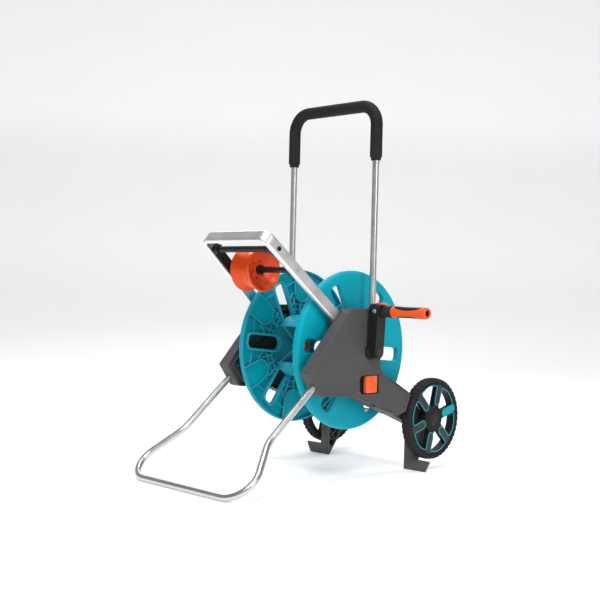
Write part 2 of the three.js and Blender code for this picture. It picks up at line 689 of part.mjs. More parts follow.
function foldLock() {
  return box(169, 205, -5.2, 5.2, PIVOT.z + 13.8, PIVOT.z + 19.6);
}

function crankGrip() {
  const bore = 7.6 + RUN;
  return turned([
    [bore, GRIP_START], [12, GRIP_START], [13.5, GRIP_START + 3], [12.4, GRIP_START + 24],
    [12.4, GRIP_START + 74], [13.6, GRIP_STOP - 4], [11.6, GRIP_STOP], [8.4, GRIP_STOP],
    [7, GRIP_STOP - 10], [0, GRIP_STOP - 10], [0, GRIP_STOP - 13], [bore, GRIP_STOP - 13], [bore, GRIP_START],
  ], 0, PIVOT.z, 22);
}

// ---- Water inlet on the left side ----
function inletElbow() {
  const hub = rod(15, -179, -CRANK_INNER, 0, DRUM_HEIGHT);
  const length = 34;
  const spigot = new THREE.LatheGeometry([
    [0, 0], [10, 0], [10, 20], [8.4, 21], [8.4, 26], [9.6, 27], [8.2, 30], [8.2, length], [5, length],
    [5, 18], [0, 18],
  ].map(([radius, y]) => new THREE.Vector2(radius, y)), 16)
    .rotateX(Math.PI * 1.2).translate(-168, 0, DRUM_HEIGHT);
  return cut(join(hub, spigot), rod(SHAFT_END_RADIUS + RUN, -CRANK_INNER - 13, -150, 0, DRUM_HEIGHT));
}

function inletCollar() {
  return ring(SHAFT_END_RADIUS + RUN + 8, 19.6, -CRANK_INNER - 2, -CRANK_INNER - 0.2, 0, DRUM_HEIGHT, 28);
}

// ---- Wheels ----
function tyre() {
  const { inner, outer, radius } = WHEEL;
  return turned([
    [TYRE_BORE, inner], [radius - 4, inner], [radius, inner + 5], [radius, outer - 5], [radius - 4, outer],
    [TYRE_BORE, outer], [TYRE_BORE, inner],
  ], WHEEL.y, WHEEL.z, 40);
}

function openingOutline(middle) {
  const half = Math.PI / SPOKE_COUNT;
  const edge = SPOKE_WIDTH / 2;
  const reach = (radius) => half - Math.asin(edge / radius);
  const inner = 38;
  const outer = 83;
  const outline = new THREE.Shape();
  outline.absarc(0, 0, outer, middle - reach(outer), middle + reach(outer), false);
  outline.absarc(0, 0, inner, middle + reach(inner), middle - reach(inner), true);
  return outline.getPoints(3).map((item) => item.add(new THREE.Vector2(WHEEL.y, WHEEL.z)));
}

function wheelRim() {
  const half = Math.PI / SPOKE_COUNT;
  const disc = ring(8.7, TYRE_BORE - GAP, 170, RIM_FACE, WHEEL.y, WHEEL.z, 40);
  const barrel = ring(TYRE_BORE - 4, TYRE_BORE - GAP, WHEEL.inner + 1, 171, WHEEL.y, WHEEL.z, 40);
  const hub = ring(8.7, HUB_RADIUS, WHEEL.inner + 0.6, 171, WHEEL.y, WHEEL.z, 20);
  const openings = Array.from({ length: SPOKE_COUNT }, (_, i) => plate(
    new THREE.Shape(openingOutline(SPOKE_TURN + half + 2 * half * i)), 165, 190));
  return cut(join(disc, barrel, hub), ...openings);
}

function wheelTrim() {
  const band = ring(84.6, 88.4, RIM_FACE + GAP, RIM_FACE + 1.6, WHEEL.y, WHEEL.z, 40);
  const angle = SPOKE_TURN - (2 * Math.PI) / SPOKE_COUNT;
  const [dy, dz] = [Math.cos(angle), Math.sin(angle)];
  const panel = bar(WHEEL.y + 34 * dy, WHEEL.z + 34 * dz, WHEEL.y + 86 * dy, WHEEL.z + 86 * dz, 15,
    RIM_FACE + GAP, RIM_FACE + 1.6);
  return join(band, panel);
}

function hubCap() {
  return turned([[0, RIM_FACE + GAP], [15, RIM_FACE + GAP], [15, RIM_FACE + 1.6], [13, RIM_FACE + 2.9],
    [0, RIM_FACE + 3.4]], WHEEL.y, WHEEL.z, 20);
}

// ---- Telescopic handle ----
function handleRoute(bottom) {
  return rounded([
    point(HANDLE_X, HANDLE_Y, bottom), point(HANDLE_X, HANDLE_Y, HANDLE_TOP), point(-HANDLE_X, HANDLE_Y, HANDLE_TOP),
    point(-HANDLE_X, HANDLE_Y, bottom),
  ], [HANDLE_CORNER, HANDLE_CORNER], 6);
}

function handleGrip() {
  const outside = tube(handleRoute(GRIP_END), GRIP_RADIUS, 12);
  const inside = tube(handleRoute(GRIP_END - 2), TUBE_RADIUS + 0.6, 10);
  return cut(outside, inside);
}

function handleGuide() {
  return cut(upright(11.2, HANDLE_X, HANDLE_Y, 387, 401.5), upright(TUBE_RADIUS + 0.4, HANDLE_X, HANDLE_Y, 380, 410));
}

function tubePlug() {
  return upright(TUBE_RADIUS - 0.6, HANDLE_X, HANDLE_Y, HANDLE_BOTTOM - 3.4, HANDLE_BOTTOM - GAP);
}

function latch() {
  const button = box(149, LATCH.face, LATCH.y0, LATCH.y1, LATCH.z0, LATCH.z1);
  const backing = box(147, 150.2, LATCH.y0 - 4, LATCH.y1 + 8, LATCH.z0 - 4, LATCH.z1 + 4);
  return join(button, backing);
}

// ---- Assembly ----
const cart = new THREE.Group();

function add(name, geometry, look) {
  const mesh = new THREE.Mesh(geometry, new THREE.MeshStandardMaterial(look));
  mesh.name = name;
  cart.add(mesh);
}

function addPair(name, geometry, look, suffix = '') {
  add(`${name}_right${suffix}`, geometry, look);
  add(`${name}_left${suffix}`, mirrored(geometry), look);
}

addPair('side_cover', sideCover(), GREY);
addPair('side_frame', sideFrame(), BLACK);
addPair('foot', foot(), GREY);
SCREW_SPOTS.forEach((spot, i) => addPair('cover_screw', coverScrew(spot), ZINC, `_${i + 1}`));
add('hoop', hoop(), ALUMINIUM);
add('upper_rod', guideRod(UPPER_ROD), BLACK);
add('lower_rod', guideRod(LOWER_ROD), BLACK);
addPair('guide_bracket', guideBracket(), BLACK);
addPair('upper_rod_plug', rodFastener(UPPER_ROD, 5.4), BLACK);
addPair('lower_rod_screw', rodFastener(LOWER_ROD, 5), ZINC);
add('stand_tube', tube(standPoints(), TUBE_RADIUS), STEEL);
add('wheel_axle', rod(AXLE_RADIUS, -181, 181, WHEEL.y, WHEEL.z), STEEL);
addPair('drum_bearing', ring(SHAFT_RADIUS + RUN, 16, 116, 128.4, 0, DRUM_HEIGHT), BLACK);
addPair('handle_guide', handleGuide(), BLACK);

addPair('flange', flange(), TURQUOISE);
add('drum_core', drumCore(), TURQUOISE);
addPair('drum_shaft', drumShaft(), BLACK);
add('hose_connector', hoseConnector(), ORANGE);
add('crank_arm', crankArm(), BLACK);
add('crank_cap', crankCap(), GREY);
add('crank_pivot_screw', pivotScrew(), ZINC);

add('crank_knuckle', knuckle(), BLACK);
add('fold_lock', foldLock(), ORANGE);
add('crank_grip', crankGrip(), ORANGE);

add('inlet_elbow', inletElbow(), BLACK);
add('inlet_collar', inletCollar(), ORANGE);

addPair('tyre', tyre(), RUBBER);
addPair('wheel_rim', wheelRim(), BLACK);
addPair('wheel_trim', wheelTrim(), TURQUOISE);
addPair('wheel_bush', ring(AXLE_RADIUS + RUN, 8.4, WHEEL.inner + 0.6, 182, WHEEL.y, WHEEL.z, 20), BLACK);
addPair('hub_cap', hubCap(), BLACK);

add('handle_tube', tube(handleRoute(HANDLE_BOTTOM), TUBE_RADIUS), STEEL);
add('handle_grip', handleGrip(), FOAM);
addPair('tube_plug', tubePlug(), BLACK);
addPair('latch', latch(), ORANGE);

add('guide_sleeve', guideSleeve(), BLACK);
add('guide_spool', guideSpool(), SPOOL_RED);

// The origin is the middle of the cart's box, on the ground.
const bounds = new THREE.Box3().setFromObject(cart);
const middle = bounds.getCenter(new THREE.Vector3());
cart.position.set(-middle.x, -middle.y, -bounds.min.z);

export default cart;
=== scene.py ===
import json
import math

import bmesh
import bpy
from mathutils import Matrix, Vector

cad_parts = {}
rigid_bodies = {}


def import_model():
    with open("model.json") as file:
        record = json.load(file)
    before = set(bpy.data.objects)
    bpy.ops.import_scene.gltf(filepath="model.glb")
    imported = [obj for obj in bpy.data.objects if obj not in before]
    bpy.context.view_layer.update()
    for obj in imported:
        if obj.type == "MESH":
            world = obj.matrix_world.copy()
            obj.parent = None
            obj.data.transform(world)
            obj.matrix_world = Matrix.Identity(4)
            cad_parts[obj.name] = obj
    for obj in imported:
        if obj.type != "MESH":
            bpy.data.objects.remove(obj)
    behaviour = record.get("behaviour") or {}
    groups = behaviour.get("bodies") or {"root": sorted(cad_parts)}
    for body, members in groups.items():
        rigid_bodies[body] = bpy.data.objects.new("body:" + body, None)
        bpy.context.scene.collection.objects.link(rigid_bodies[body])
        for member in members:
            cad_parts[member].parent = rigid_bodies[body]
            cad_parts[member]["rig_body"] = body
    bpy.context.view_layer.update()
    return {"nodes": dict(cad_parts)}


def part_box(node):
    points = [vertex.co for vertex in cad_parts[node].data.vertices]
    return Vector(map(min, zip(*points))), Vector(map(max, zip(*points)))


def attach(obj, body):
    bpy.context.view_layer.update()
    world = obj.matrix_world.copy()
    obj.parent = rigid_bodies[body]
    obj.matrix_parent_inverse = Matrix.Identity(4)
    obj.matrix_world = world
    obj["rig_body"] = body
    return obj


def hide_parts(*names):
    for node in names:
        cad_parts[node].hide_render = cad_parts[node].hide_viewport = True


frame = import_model()

# ---- The cart's own frame: millimetres, x = 0 midway between the sides, y = 0 and z = 298 on the drum axis ----
MM = 0.001
AXIS = (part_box("drum_shaft_left")[0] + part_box("drum_shaft_right")[1]) / 2
TO_ROW = Matrix.Translation((AXIS.x, AXIS.y, 0)) @ Matrix.Scale(MM, 4)
DRUM_Z = AXIS.z / MM

FLANGE_RADIUS = 190
FLANGE_FACE = 101
FLANGE_INSIDE = 96.5
LIP_X = 86
RIM_BACK = 85.2
CORE_RADIUS = 78
DRUM_TURN = math.radians(-5.5)
SLOTS = 6
SLOT_HALF = 16
SLOT_START = 62
SLOT_END = 166

COVER_EDGE = 124
COVER_FACE = 154
FLARES = ((0.7, -0.714, 8, 0.06), (0.88, -0.474, 122, 0.3))

WHEEL_Y = 213
WHEEL_Z = 126.7
TYRE_RADIUS = 100.8
TYRE_IN = 159.4
TYRE_OUT = 185.4
RIM_RADIUS = 89.5
RIM_FACE = 183.6
SPOKES = 6
SPOKE_TURN = math.radians(75.5)
SPOKE_HALF = 9.5

HOOP_SLOPE = math.radians(40)
HOOP_HALF_SPAN = 109
HOOP_SPLAY = 0.0635
HOOP_LENGTH = 338
HOOP_THICK = 12
HOOP_WIDTH = 30
HOOP_START = (-300.7, 559.5)
UPPER_ROD = (46.6, 7.5)
LOWER_ROD = (117, 7)
SPOOL_X = -21.7
SPOOL_HALF = 31.1
SPOOL_RADIUS = 51.5

TUBE_RADIUS = 8
HANDLE_X = 137
HANDLE_Y = 22.5
HANDLE_TOP = 882
HANDLE_BOTTOM = 186
GRIP_END = 756
GRIP_RADIUS = 14.7
CRANK_FACE = 183
PIVOT_X = 176.5
PIVOT_Z = 394
CRANK_HALF = 15
CRANK_GRIP = (219.5, 321)
INLAY_TURN = math.radians(14)


# ---- Flat shapes ----
def vectors(points):
    return [Vector(p) for p in points]


def arc(cx, cy, radius, start, stop, steps):
    return [Vector((cx + radius * math.cos(start + (stop - start) * i / steps),
                    cy + radius * math.sin(start + (stop - start) * i / steps))) for i in range(steps + 1)]


def circle(cx, cy, radius, steps=64):
    return arc(cx, cy, radius, 0, 2 * math.pi, steps)[:-1]


def fillet(points, radius, steps=5, closed=True):
    """Rounds the corners of a flat or solid polyline. The radius is one number or one for each point."""
    points = vectors(points)
    count = len(points)
    made = []
    for i, here in enumerate(points):
        wanted = radius[i] if isinstance(radius, (list, tuple)) else radius
        if wanted <= 0 or (not closed and i in (0, count - 1)):
            made.append(here)
            continue
        to_back = points[i - 1] - here
        to_next = points[(i + 1) % count] - here
        angle = to_back.angle(to_next)
        if angle > math.radians(176):
            made.append(here)
            continue
        reach = min(wanted / math.tan(angle / 2), 0.49 * to_back.length, 0.49 * to_next.length)
        used = reach * math.tan(angle / 2)
        middle = here + (to_back.normalized() + to_next.normalized()).normalized() * used / math.sin(angle / 2)
        first = here + to_back.normalized() * reach - middle
        last = here + to_next.normalized() * reach - middle
        sweep = first.angle(last)
        for k in range(steps + 1):
            share = k / steps
            made.append(middle + first * (math.sin(sweep * (1 - share)) / math.sin(sweep))
                        + last * (math.sin(sweep * share) / math.sin(sweep)))
    return made


def area(points):
    return sum(a.x * b.y - b.x * a.y for a, b in zip(points, points[1:] + points[:1])) / 2


def inset(points, distance):
    """Moves each edge of a closed outline inwards, or outwards where the distance is negative."""
    turn = 1 if area(points) > 0 else -1
    made = []
    for i, here in enumerate(points):
        first = (here - points[i - 1]).normalized()
        second = (points[(i + 1) % len(points)] - here).normalized()
        normal = Vector((-first.y - second.y, first.x + second.x))
        if normal.length < 1e-6:
            normal = Vector((-first.y, first.x))
        normal.normalize()
        stretch = max(normal.dot(Vector((-first.y, first.x))), 0.5)
        made.append(here + normal * (turn * distance / stretch))
    return made


# ---- Solid shapes, as bmesh ----
def add_rings(bm, rings, loop=False, caps=(True, True)):
    """Joins rings of equal length into a skin. A ring of one point closes the skin in a fan."""
    rows = [[bm.verts.new(p) for p in ring] for ring in rings]
    pairs = list(zip(rows, rows[1:])) + ([(rows[-1], rows[0])] if loop else [])
    for low, high in pairs:
        count = max(len(low), len(high))
        for i in range(count):
            j = (i + 1) % count
            if len(low) == 1:
                bm.faces.new((low[0], high[i], high[j]))
            elif len(high) == 1:
                bm.faces.new((low[i], low[j], high[0]))
            else:
                bm.faces.new((low[i], low[j], high[j], high[i]))
    if not loop:
        for row, wanted in ((rows[0], caps[0]), (rows[-1], caps[1])):
            if wanted and len(row) > 2:
                bm.faces.new(row)
    return bm


def lathe(bm, profile, y=0.0, z=DRUM_Z, sides=72, loop=False, axis="x", at=0.0):
    """Turns a profile of (radius, place along the axis) round an axis along x, y or z.

    A profile that ends where it began makes a ring, open through its middle."""
    profile = vectors(profile)
    if (profile[0] - profile[-1]).length < 1e-6:
        loop = True
        profile = profile[:-1]
    rings = []
    for radius, along in profile:
        ring = []
        for i in range(sides if radius > 0 else 1):
            angle = 2 * math.pi * i / sides
            a, b = radius * math.cos(angle), radius * math.sin(angle)
            if axis == "x":
                ring.append(Vector((along, y + a, z + b)))
            elif axis == "y":
                ring.append(Vector((at + a, along, z + b)))
            else:
                ring.append(Vector((at + a, y + b, along)))
        rings.append(ring)
    return add_rings(bm, rings, loop)


def rounded_profile(points, radius, steps=4):
    """A lathe profile with its corners rounded, apart from points on the axis."""
    radii = [0 if p[0] == 0 else radius for p in points]
    return [(max(p.x, 0), p.y) for p in fillet(points, radii, steps, closed=False)]


def slab(bm, outline, holes, x0, x1, edge=1.5, face=None, back_edge=0.4, steps=3, recess=None,
         hole_edge=None):
    """A plate across x with rounded rims. The outer side follows face(y, z) if that is given.

    A recess of (wall, depth) leaves a wall of that width standing round a hollow back."""
    front = face or (lambda y, z: x1)

    def levels_from(base, rounding):
        levels = [(back_edge, lambda y, z: base), (0, lambda y, z: base + back_edge)]
        for k in range(steps + 1):
            turn = math.pi / 2 * k / steps
            drop = rounding * (1 - math.sin(turn))
            levels.append((rounding * (1 - math.cos(turn)), lambda y, z, drop=drop: front(y, z) - drop))
        return levels

    wall_width, depth = recess or (0, 0)
    outer_levels = levels_from(x0, edge)
    if recess:
        outer_levels = [(wall_width, lambda y, z: x0 + depth), (wall_width, lambda y, z: x0)] + outer_levels
    hole_levels = levels_from(x0 + depth, edge if hole_edge is None else hole_edge)
    outer_rims, back_rims = [], []
    for number, loop in enumerate([outline] + list(holes)):
        rings = []
        for away, height in (hole_levels if number else outer_levels):
            flat = inset(loop, -away if number else away)
            rings.append([bm.verts.new((height(p.x, p.y), p.x, p.y)) for p in flat])
        for low, high in zip(rings, rings[1:]):
            for i in range(len(low)):
                j = (i + 1) % len(low)
                bm.faces.new((low[i], low[j], high[j], high[i]))
        back_rims.append(rings[0])
        outer_rims.append(rings[-1])
    for rims in (back_rims, outer_rims):
        edges = []
        for rim in rims:
            edges += [bm.edges.get((rim[i], rim[(i + 1) % len(rim)])) for i in range(len(rim))]
        made = bmesh.ops.triangle_fill(bm, use_beauty=True, use_dissolve=False, edges=edges)
        rows = [g for g in made["geom"] if isinstance(g, bmesh.types.BMFace)]
        if face and rims is outer_rims:
            for y, z, start, _ in FLARES:
                near = list({v for f in rows for v in f.verts} | {e for f in rows for e in f.edges} | set(rows))
                cut = bmesh.ops.bisect_plane(
                    bm, geom=near, plane_co=(0, y * start, z * start + DRUM_Z), plane_no=(0, y,
                                                                                          z), dist=1e-4)
                rows = [g for g in cut["geom"] if isinstance(g, bmesh.types.BMFace)]
                for g in cut["geom_cut"]:
                    if isinstance(g, bmesh.types.BMVert):
                        g.co.x = front(g.co.y, g.co.z)
    return bm


def block(bm, low, high, edge=1.0):
    """A box with rounded edges all round."""
    corners = [(low[1], low[2]), (high[1], low[2]), (high[1], high[2]), (low[1], high[2])]
    return slab(bm, fillet(corners, edge * 1.3, 3), (), low[0], high[0], edge, back_edge=edge)


def sweep(bm, path, section, side=None, loop=False):
    """Carries a flat section along a path. The side is the way the section's first coordinate points at the start."""
    path = vectors(path)
    count = len(path)
    tangents = []
    for i in range(count):
        before = path[i - 1] if (i or loop) else path[0]
        after = path[(i + 1) % count] if (i < count - 1 or loop) else path[-1]
        tangents.append((after - before).normalized())
    across = Vector(side) if side else tangents[0].orthogonal()
    rings = []
    for here, tangent in zip(path, tangents):
        across = (across - tangent * across.dot(tangent)).normalized()
        up = tangent.cross(across)
        rings.append([here + across * p[0] + up * p[1] for p in section])
    return add_rings(bm, rings, loop)


def round_tube(bm, path, radius, sides=28, edge=0.8):
    """A tube with its two ends rounded off."""
    path = vectors(path)
    section = circle(0, 0, radius, sides)
    start, stop = (path[1] - path[0]).normalized(), (path[-2] - path[-1]).normalized()
    small = 1 - edge / radius
    inner = [path[0] + start * edge] + path[1:-1] + [path[-1] + stop * edge]
    sweep(bm, inner, section)
    bm.verts.ensure_lookup_table()
    for face in [f for f in bm.faces if len(f.verts) == sides]:
        grown = bmesh.ops.extrude_face_region(bm, geom=[face])
        verts = [g for g in grown["geom"] if isinstance(g, bmesh.types.BMVert)]
        middle = sum((v.co for v in verts), Vector()) / len(verts)
        out = -start if (middle - path[0]).length < (middle - path[-1]).length else -stop
        for v in verts:
            v.co = middle + (v.co - middle) * small + out * edge
        bmesh.ops.delete(bm, geom=[face], context="FACES_ONLY")
    return bm


def moved(bm, matrix, start=0):
    """Transforms the vertices made since the given count."""
    bm.verts.ensure_lookup_table()
    bmesh.ops.transform(bm, matrix=matrix, verts=bm.verts[start:])
    return bm


# ---- Materials ----
class Nodes:
    """A short way to write a node tree."""

    def __init__(self, name):
        self.material = bpy.data.materials.new(name)
        self.material.use_nodes = True
        self.tree = self.material.node_tree
        self.shader = self.tree.nodes["Principled BSDF"]
        place = self.tree.nodes.new("ShaderNodeTexCoord")
        self.place = place.outputs["Object"]

    def add(self, kind, settings=(), **inputs):
        node = self.tree.nodes.new(kind)
        for key, value in dict(settings).items():
            setattr(node, key, value)
        for key, value in inputs.items():
            socket = node.inputs[int(key[1:])] if key[0] == "i" and key[1:].isdigit() else node.inputs[key]
            self.put(value, socket)
        return node.outputs[0]

    def put(self, value, socket):
        if isinstance(value, bpy.types.NodeSocket):
            self.tree.links.new(value, socket)
        else:
            socket.default_value = value

    def noise(self, scale, detail=4.0, stretch=(1, 1, 1), rough=0.55):
        coords = self.add("ShaderNodeMapping", Vector=self.place, Scale=stretch)
        return self.add("ShaderNodeTexNoise", Vector=coords, Scale=scale, Detail=detail, Roughness=rough)

    def ramp(self, value, low, high, start=0.0, stop=1.0):
        return self.add("ShaderNodeMapRange", i0=value, i1=low, i2=high, i3=start, i4=stop)

    def colour(self, share, first, second):
        node = self.tree.nodes.new("ShaderNodeMix")
        node.data_type = "RGBA"
        self.put(share, node.inputs[0])
        self.put((*first, 1), node.inputs[6])
        self.put((*second, 1), node.inputs[7])
        return node.outputs[2]

    def bump(self, height, strength, distance):
        return self.add("ShaderNodeBump", Height=height, Strength=strength, Distance=distance)


def scaled(colour, factor):
    return tuple(min(c * factor, 1) for c in colour)


def moulded(name, colour, rough, grain=1400, depth=0.00006, spread=0.12, coat=0.0, specular=0.5):
    """Moulded plastic: slow colour drift, fine spark-eroded grain, rubbed patches and light edge wear."""
    m = Nodes(name)
    drift = m.noise(9, 3)
    rubbed = m.noise(38, 6, rough=0.7)
    body = m.colour(m.ramp(drift, 0.35, 0.65), scaled(colour, 1 - spread), scaled(colour, 1 + spread))
    edge = m.add("ShaderNodeNewGeometry")
    points = edge.node.outputs["Pointiness"]
    worn = m.ramp(points, 0.53, 0.62, 0, 0.35)
    pale = tuple(c + (0.55 - c) * 0.35 for c in colour)
    mixed = m.tree.nodes.new("ShaderNodeMix")
    mixed.data_type = "RGBA"
    m.put(worn, mixed.inputs[0])
    m.put(body, mixed.inputs[6])
    m.put((*pale, 1), mixed.inputs[7])
    m.put(mixed.outputs[2], m.shader.inputs["Base Color"])
    m.put(m.ramp(rubbed, 0.3, 0.75, rough - 0.07, rough + 0.1), m.shader.inputs["Roughness"])
    m.put(m.bump(m.noise(grain, 2), 0.35, depth), m.shader.inputs["Normal"])
    m.shader.inputs["Specular IOR Level"].default_value = specular
    m.shader.inputs["Coat Weight"].default_value = coat
    m.shader.inputs["Coat Roughness"].default_value = 0.15
    return m.material


def metal(name, colour, rough, stretch=(1, 1, 1), scale=900, depth=0.00002, spots=0.06):
    """Metal with fine drawn lines along one direction, faint smudges and a roughness that wanders."""
    m = Nodes(name)
    smudge = m.noise(24, 5, rough=0.65)
    lines = m.noise(scale, 3, stretch)
    m.put(m.colour(m.ramp(smudge, 0.3, 0.7), scaled(colour, 1 - spots), colour),
          m.shader.inputs["Base Color"])
    m.shader.inputs["Metallic"].default_value = 1.0
    m.put(m.ramp(smudge, 0.3, 0.75, rough * 0.8, rough * 1.35), m.shader.inputs["Roughness"])
    m.put(m.bump(lines, 0.3, depth), m.shader.inputs["Normal"])
    return m.material


def rubber(name, colour, rough, cell, depth):
    """Rubber or foam: a matte skin with a cellular grain and a little paler dust in patches."""
    m = Nodes(name)
    cells = m.add("ShaderNodeTexVoronoi", Vector=m.place, Scale=cell)
    dust = m.noise(30, 5, rough=0.7)
    m.put(m.colour(m.ramp(dust, 0.35, 0.75), colour, scaled(colour, 1.7)), m.shader.inputs["Base Color"])
    m.put(m.ramp(dust, 0.3, 0.7, rough - 0.08, rough + 0.08), m.shader.inputs["Roughness"])
    m.put(m.bump(cells, 0.5, depth), m.shader.inputs["Normal"])
    m.shader.inputs["Specular IOR Level"].default_value = 0.2
    return m.material


class Look:
    def __init__(self, material, slot):
        self.material = material
        self.slot = slot


COVER = Look(moulded("cover_grey", (0.074, 0.073, 0.072), 0.55, spread=0.07, specular=0.2), "cover_grey")
BLACK = Look(moulded("black_plastic", (0.009, 0.009, 0.009), 0.5, spread=0.15, specular=0.16),
             "black_plastic")
SATIN = Look(moulded("satin_black", (0.013, 0.013, 0.013), 0.4, spread=0.12, specular=0.25),
             "black_plastic")
CAP = Look(moulded("cap_grey", (0.035, 0.035, 0.036), 0.45, specular=0.2), "cap_grey")
TEAL = Look(moulded("turquoise", (0.0, 0.35, 0.45), 0.4, grain=900, depth=0.00004, spread=0.05,
                    specular=0.14),
            "turquoise_plastic")
ORANGE = Look(moulded("orange", (0.88, 0.12, 0.02), 0.45, grain=900, spread=0.05, specular=0.16),
              "orange_plastic")
SPOOL = Look(moulded("spool_red", (0.8, 0.075, 0.006), 0.28, grain=700, spread=0.06, specular=0.3),
             "spool_red")
STEEL = Look(metal("polished_steel", (0.62, 0.62, 0.62), 0.3, (1, 1, 0.04), depth=0.000002, spots=0.04),
             "chrome_tube")
ALUMINIUM = Look(metal("satin_aluminium", (0.78, 0.78, 0.79), 0.42, (1, 0.06, 0.06), depth=0.00003),
                 "hoop_aluminium")
ZINC = Look(metal("zinc", (0.56, 0.57, 0.58), 0.32), "zinc_screw")
TYRE = Look(rubber("tyre_rubber", (0.014, 0.014, 0.014), 0.62, 900, 0.0001), "tyre_rubber")
FOAM = Look(rubber("foam", (0.012, 0.012, 0.013), 0.72, 1500, 0.00025), "grip_foam")


# ---- Pieces ----
def piece(name, bm, body, look, nodes=(), sharp=34):
    """Makes an object in the row frame from a shape in the cart's own frame."""
    bmesh.ops.remove_doubles(bm, verts=bm.verts, dist=1e-4)
    bmesh.ops.recalc_face_normals(bm, faces=bm.faces)
    for face in bm.faces:
        face.smooth = True
    for edge in bm.edges:
        if edge.is_manifold and edge.calc_face_angle() > math.radians(sharp):
            edge.smooth = False
    bm.transform(TO_ROW)
    mesh = bpy.data.meshes.new(name)
    bm.to_mesh(mesh)
    bm.free()
    mesh.materials.append(look.material)
    obj = bpy.data.objects.new(name, mesh)
    bpy.context.scene.collection.objects.link(obj)
    weighted = obj.modifiers.new("normals", "WEIGHTED_NORMAL")
    weighted.keep_sharp = True
    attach(obj, body)
    if nodes:
        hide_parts(*nodes)
    return obj


def reflected(bm):
    copy = bm.copy()
    copy.transform(Matrix.Scale(-1, 4, (1, 0, 0)))
    bmesh.ops.reverse_faces(copy, faces=copy.faces)
    return copy


def pair(name, bm, body, look, nodes=(), sharp=34):
    """The same piece on both sides. The body's name may hold {side}."""
    other = reflected(bm)
    made = []
    for side, shape in (("right", bm), ("left", other)):
        where = body.format(side=side)
        named = [f"{n}_{side}" for n in nodes]
        made.append(piece(f"{name}_{side}", shape, where, look, named, sharp))
    return made


def softened(node, look, width=0.8, body=None, extra=()):
    """A piece with a CAD node's shape and rounded edges."""
    source = frame["nodes"][node]
    bm = bmesh.new()
    bm.from_mesh(source.data)
    bmesh.ops.remove_doubles(bm, verts=bm.verts, dist=2e-6)
    bmesh.ops.dissolve_limit(bm, angle_limit=math.radians(0.6), verts=bm.verts, edges=bm.edges)
    bm.transform(TO_ROW.inverted())
    obj = piece(f"{node}_soft", bm, body or source["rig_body"], look, (node, *extra), sharp=180)
    bevel = obj.modifiers.new("edges", "BEVEL")
    bevel.width = width * MM
    bevel.segments = 2
    bevel.limit_method = "ANGLE"
    bevel.angle_limit = math.radians(32)
    bevel.use_clamp_overlap = True
    bevel.harden_normals = False
    obj.modifiers.move(len(obj.modifiers) - 1, 0)
    return obj


def carve(obj, bm, body):
    """Cuts a shape in the cart's own frame out of a piece for good."""
    bmesh.ops.recalc_face_normals(bm, faces=bm.faces)
    bm.transform(TO_ROW)
    mesh = bpy.data.meshes.new("cutter")
    bm.to_mesh(mesh)
    bm.free()
    cutter = bpy.data.objects.new("cutter", mesh)
    bpy.context.scene.collection.objects.link(cutter)
    hole = obj.modifiers.new("hole", "BOOLEAN")
    hole.operation = "DIFFERENCE"
    hole.object = cutter
    hole.solver = "EXACT"
    obj.modifiers.move(len(obj.modifiers) - 1, 0)
    normals = obj.modifiers.get("normals")
    normals.show_viewport = False
    graph = bpy.context.evaluated_depsgraph_get()
    graph.update()
    result = bpy.data.meshes.new_from_object(obj.evaluated_get(graph))
    obj.modifiers.remove(hole)
    obj.data = result
    normals.show_viewport = True
    bpy.data.objects.remove(cutter)


# ---- Side covers ----
def cover_face(y, z):
    x = COVER_FACE
    best = x
    for dy, dz, start, slope in FLARES:
        x += slope * (dy * y + dz * (z - DRUM_Z) - start)
        best = max(best, x)
    return best


def cover_outline():
    corners = [
        (-203, 255), (-96, 372), (-70.5, 399.5), (42, 399.5), (35.4, 256), (50, 244), (121, 200.5), (130,
                                                                                                     191.2),
        (110.8, 151.8), (85.6, 142), (20, 166), (-50, 191.5), (-73, 195.8), (-155, 200.5), (-165.6, 203.6),
    ]
    radii = [3, 60, 60, 9, 22, 22, 10, 3, 3, 5, 20, 20, 6, 6, 6]
    return fillet(corners, radii, 8)


def tail_outline():
    corners = [(60, 152), (60, 235), (121, 200.5), (197, 146), (204, 155), (219, 155), (237, 142),
               (237, 111), (166, 111)]
    return fillet(corners, [0, 0, 6, 12, 14, 14, 14, 2, 4], 6)


def covers():
    bm = bmesh.new()
    slab(bm, cover_outline(), (), COVER_EDGE, COVER_FACE, 2.2, cover_face, back_edge=0.6, recess=(3, 4))
    made = pair("cover", bm, "cart", COVER, ("side_cover",), sharp=50)
    tail = bmesh.new()
    slab(tail, tail_outline(), (), COVER_EDGE, COVER_FACE - 0.1, 2.0, back_edge=0.6, recess=(3, 4))
    pair("cover_tail", tail, "cart", COVER)
    window = [(-36, 198.5), (30, 198.5), (30, 242.8), (-36, 242.8)]
    for sign, obj in zip((1, -1), made):
        hole = bmesh.new()
        slab(hole, fillet(window, [12.8, 2, 2, 12.8], 8), (), 146, 175, 0.1, back_edge=0.1)
        slab(hole, fillet([(-1, 173.2), (18, 166.2), (18, 170.4), (-1, 177.4)], 1, 3), (), 151, 175, 0.1,
             back_edge=0.1)
        lathe(hole, [(0, 130), (19.5, 130), (19.5, 175), (0, 175)], 0, DRUM_Z, 64)
        if sign < 0:
            hole = reflected(hole)
        carve(obj, hole, "cart")
    track = bmesh.new()
    slab(track, fillet([(-36.2, 196), (30.4, 196), (30.4, 245), (-36.2, 245)], 3, 3), (), 142, 146.4, 0.3)
    pair("latch_track", track, "cart", BLACK)
    seat = bmesh.new()
    lathe(seat, rounded_profile([(0, 129), (19.4, 129), (19.4, 153.6), (16.8, 154.6), (13.5, 154.6),
                                 (12.5, 152), (0, 152)],
                                0.5), 0, DRUM_Z, 72)
    pair("shaft_seat", seat, "cart", BLACK)


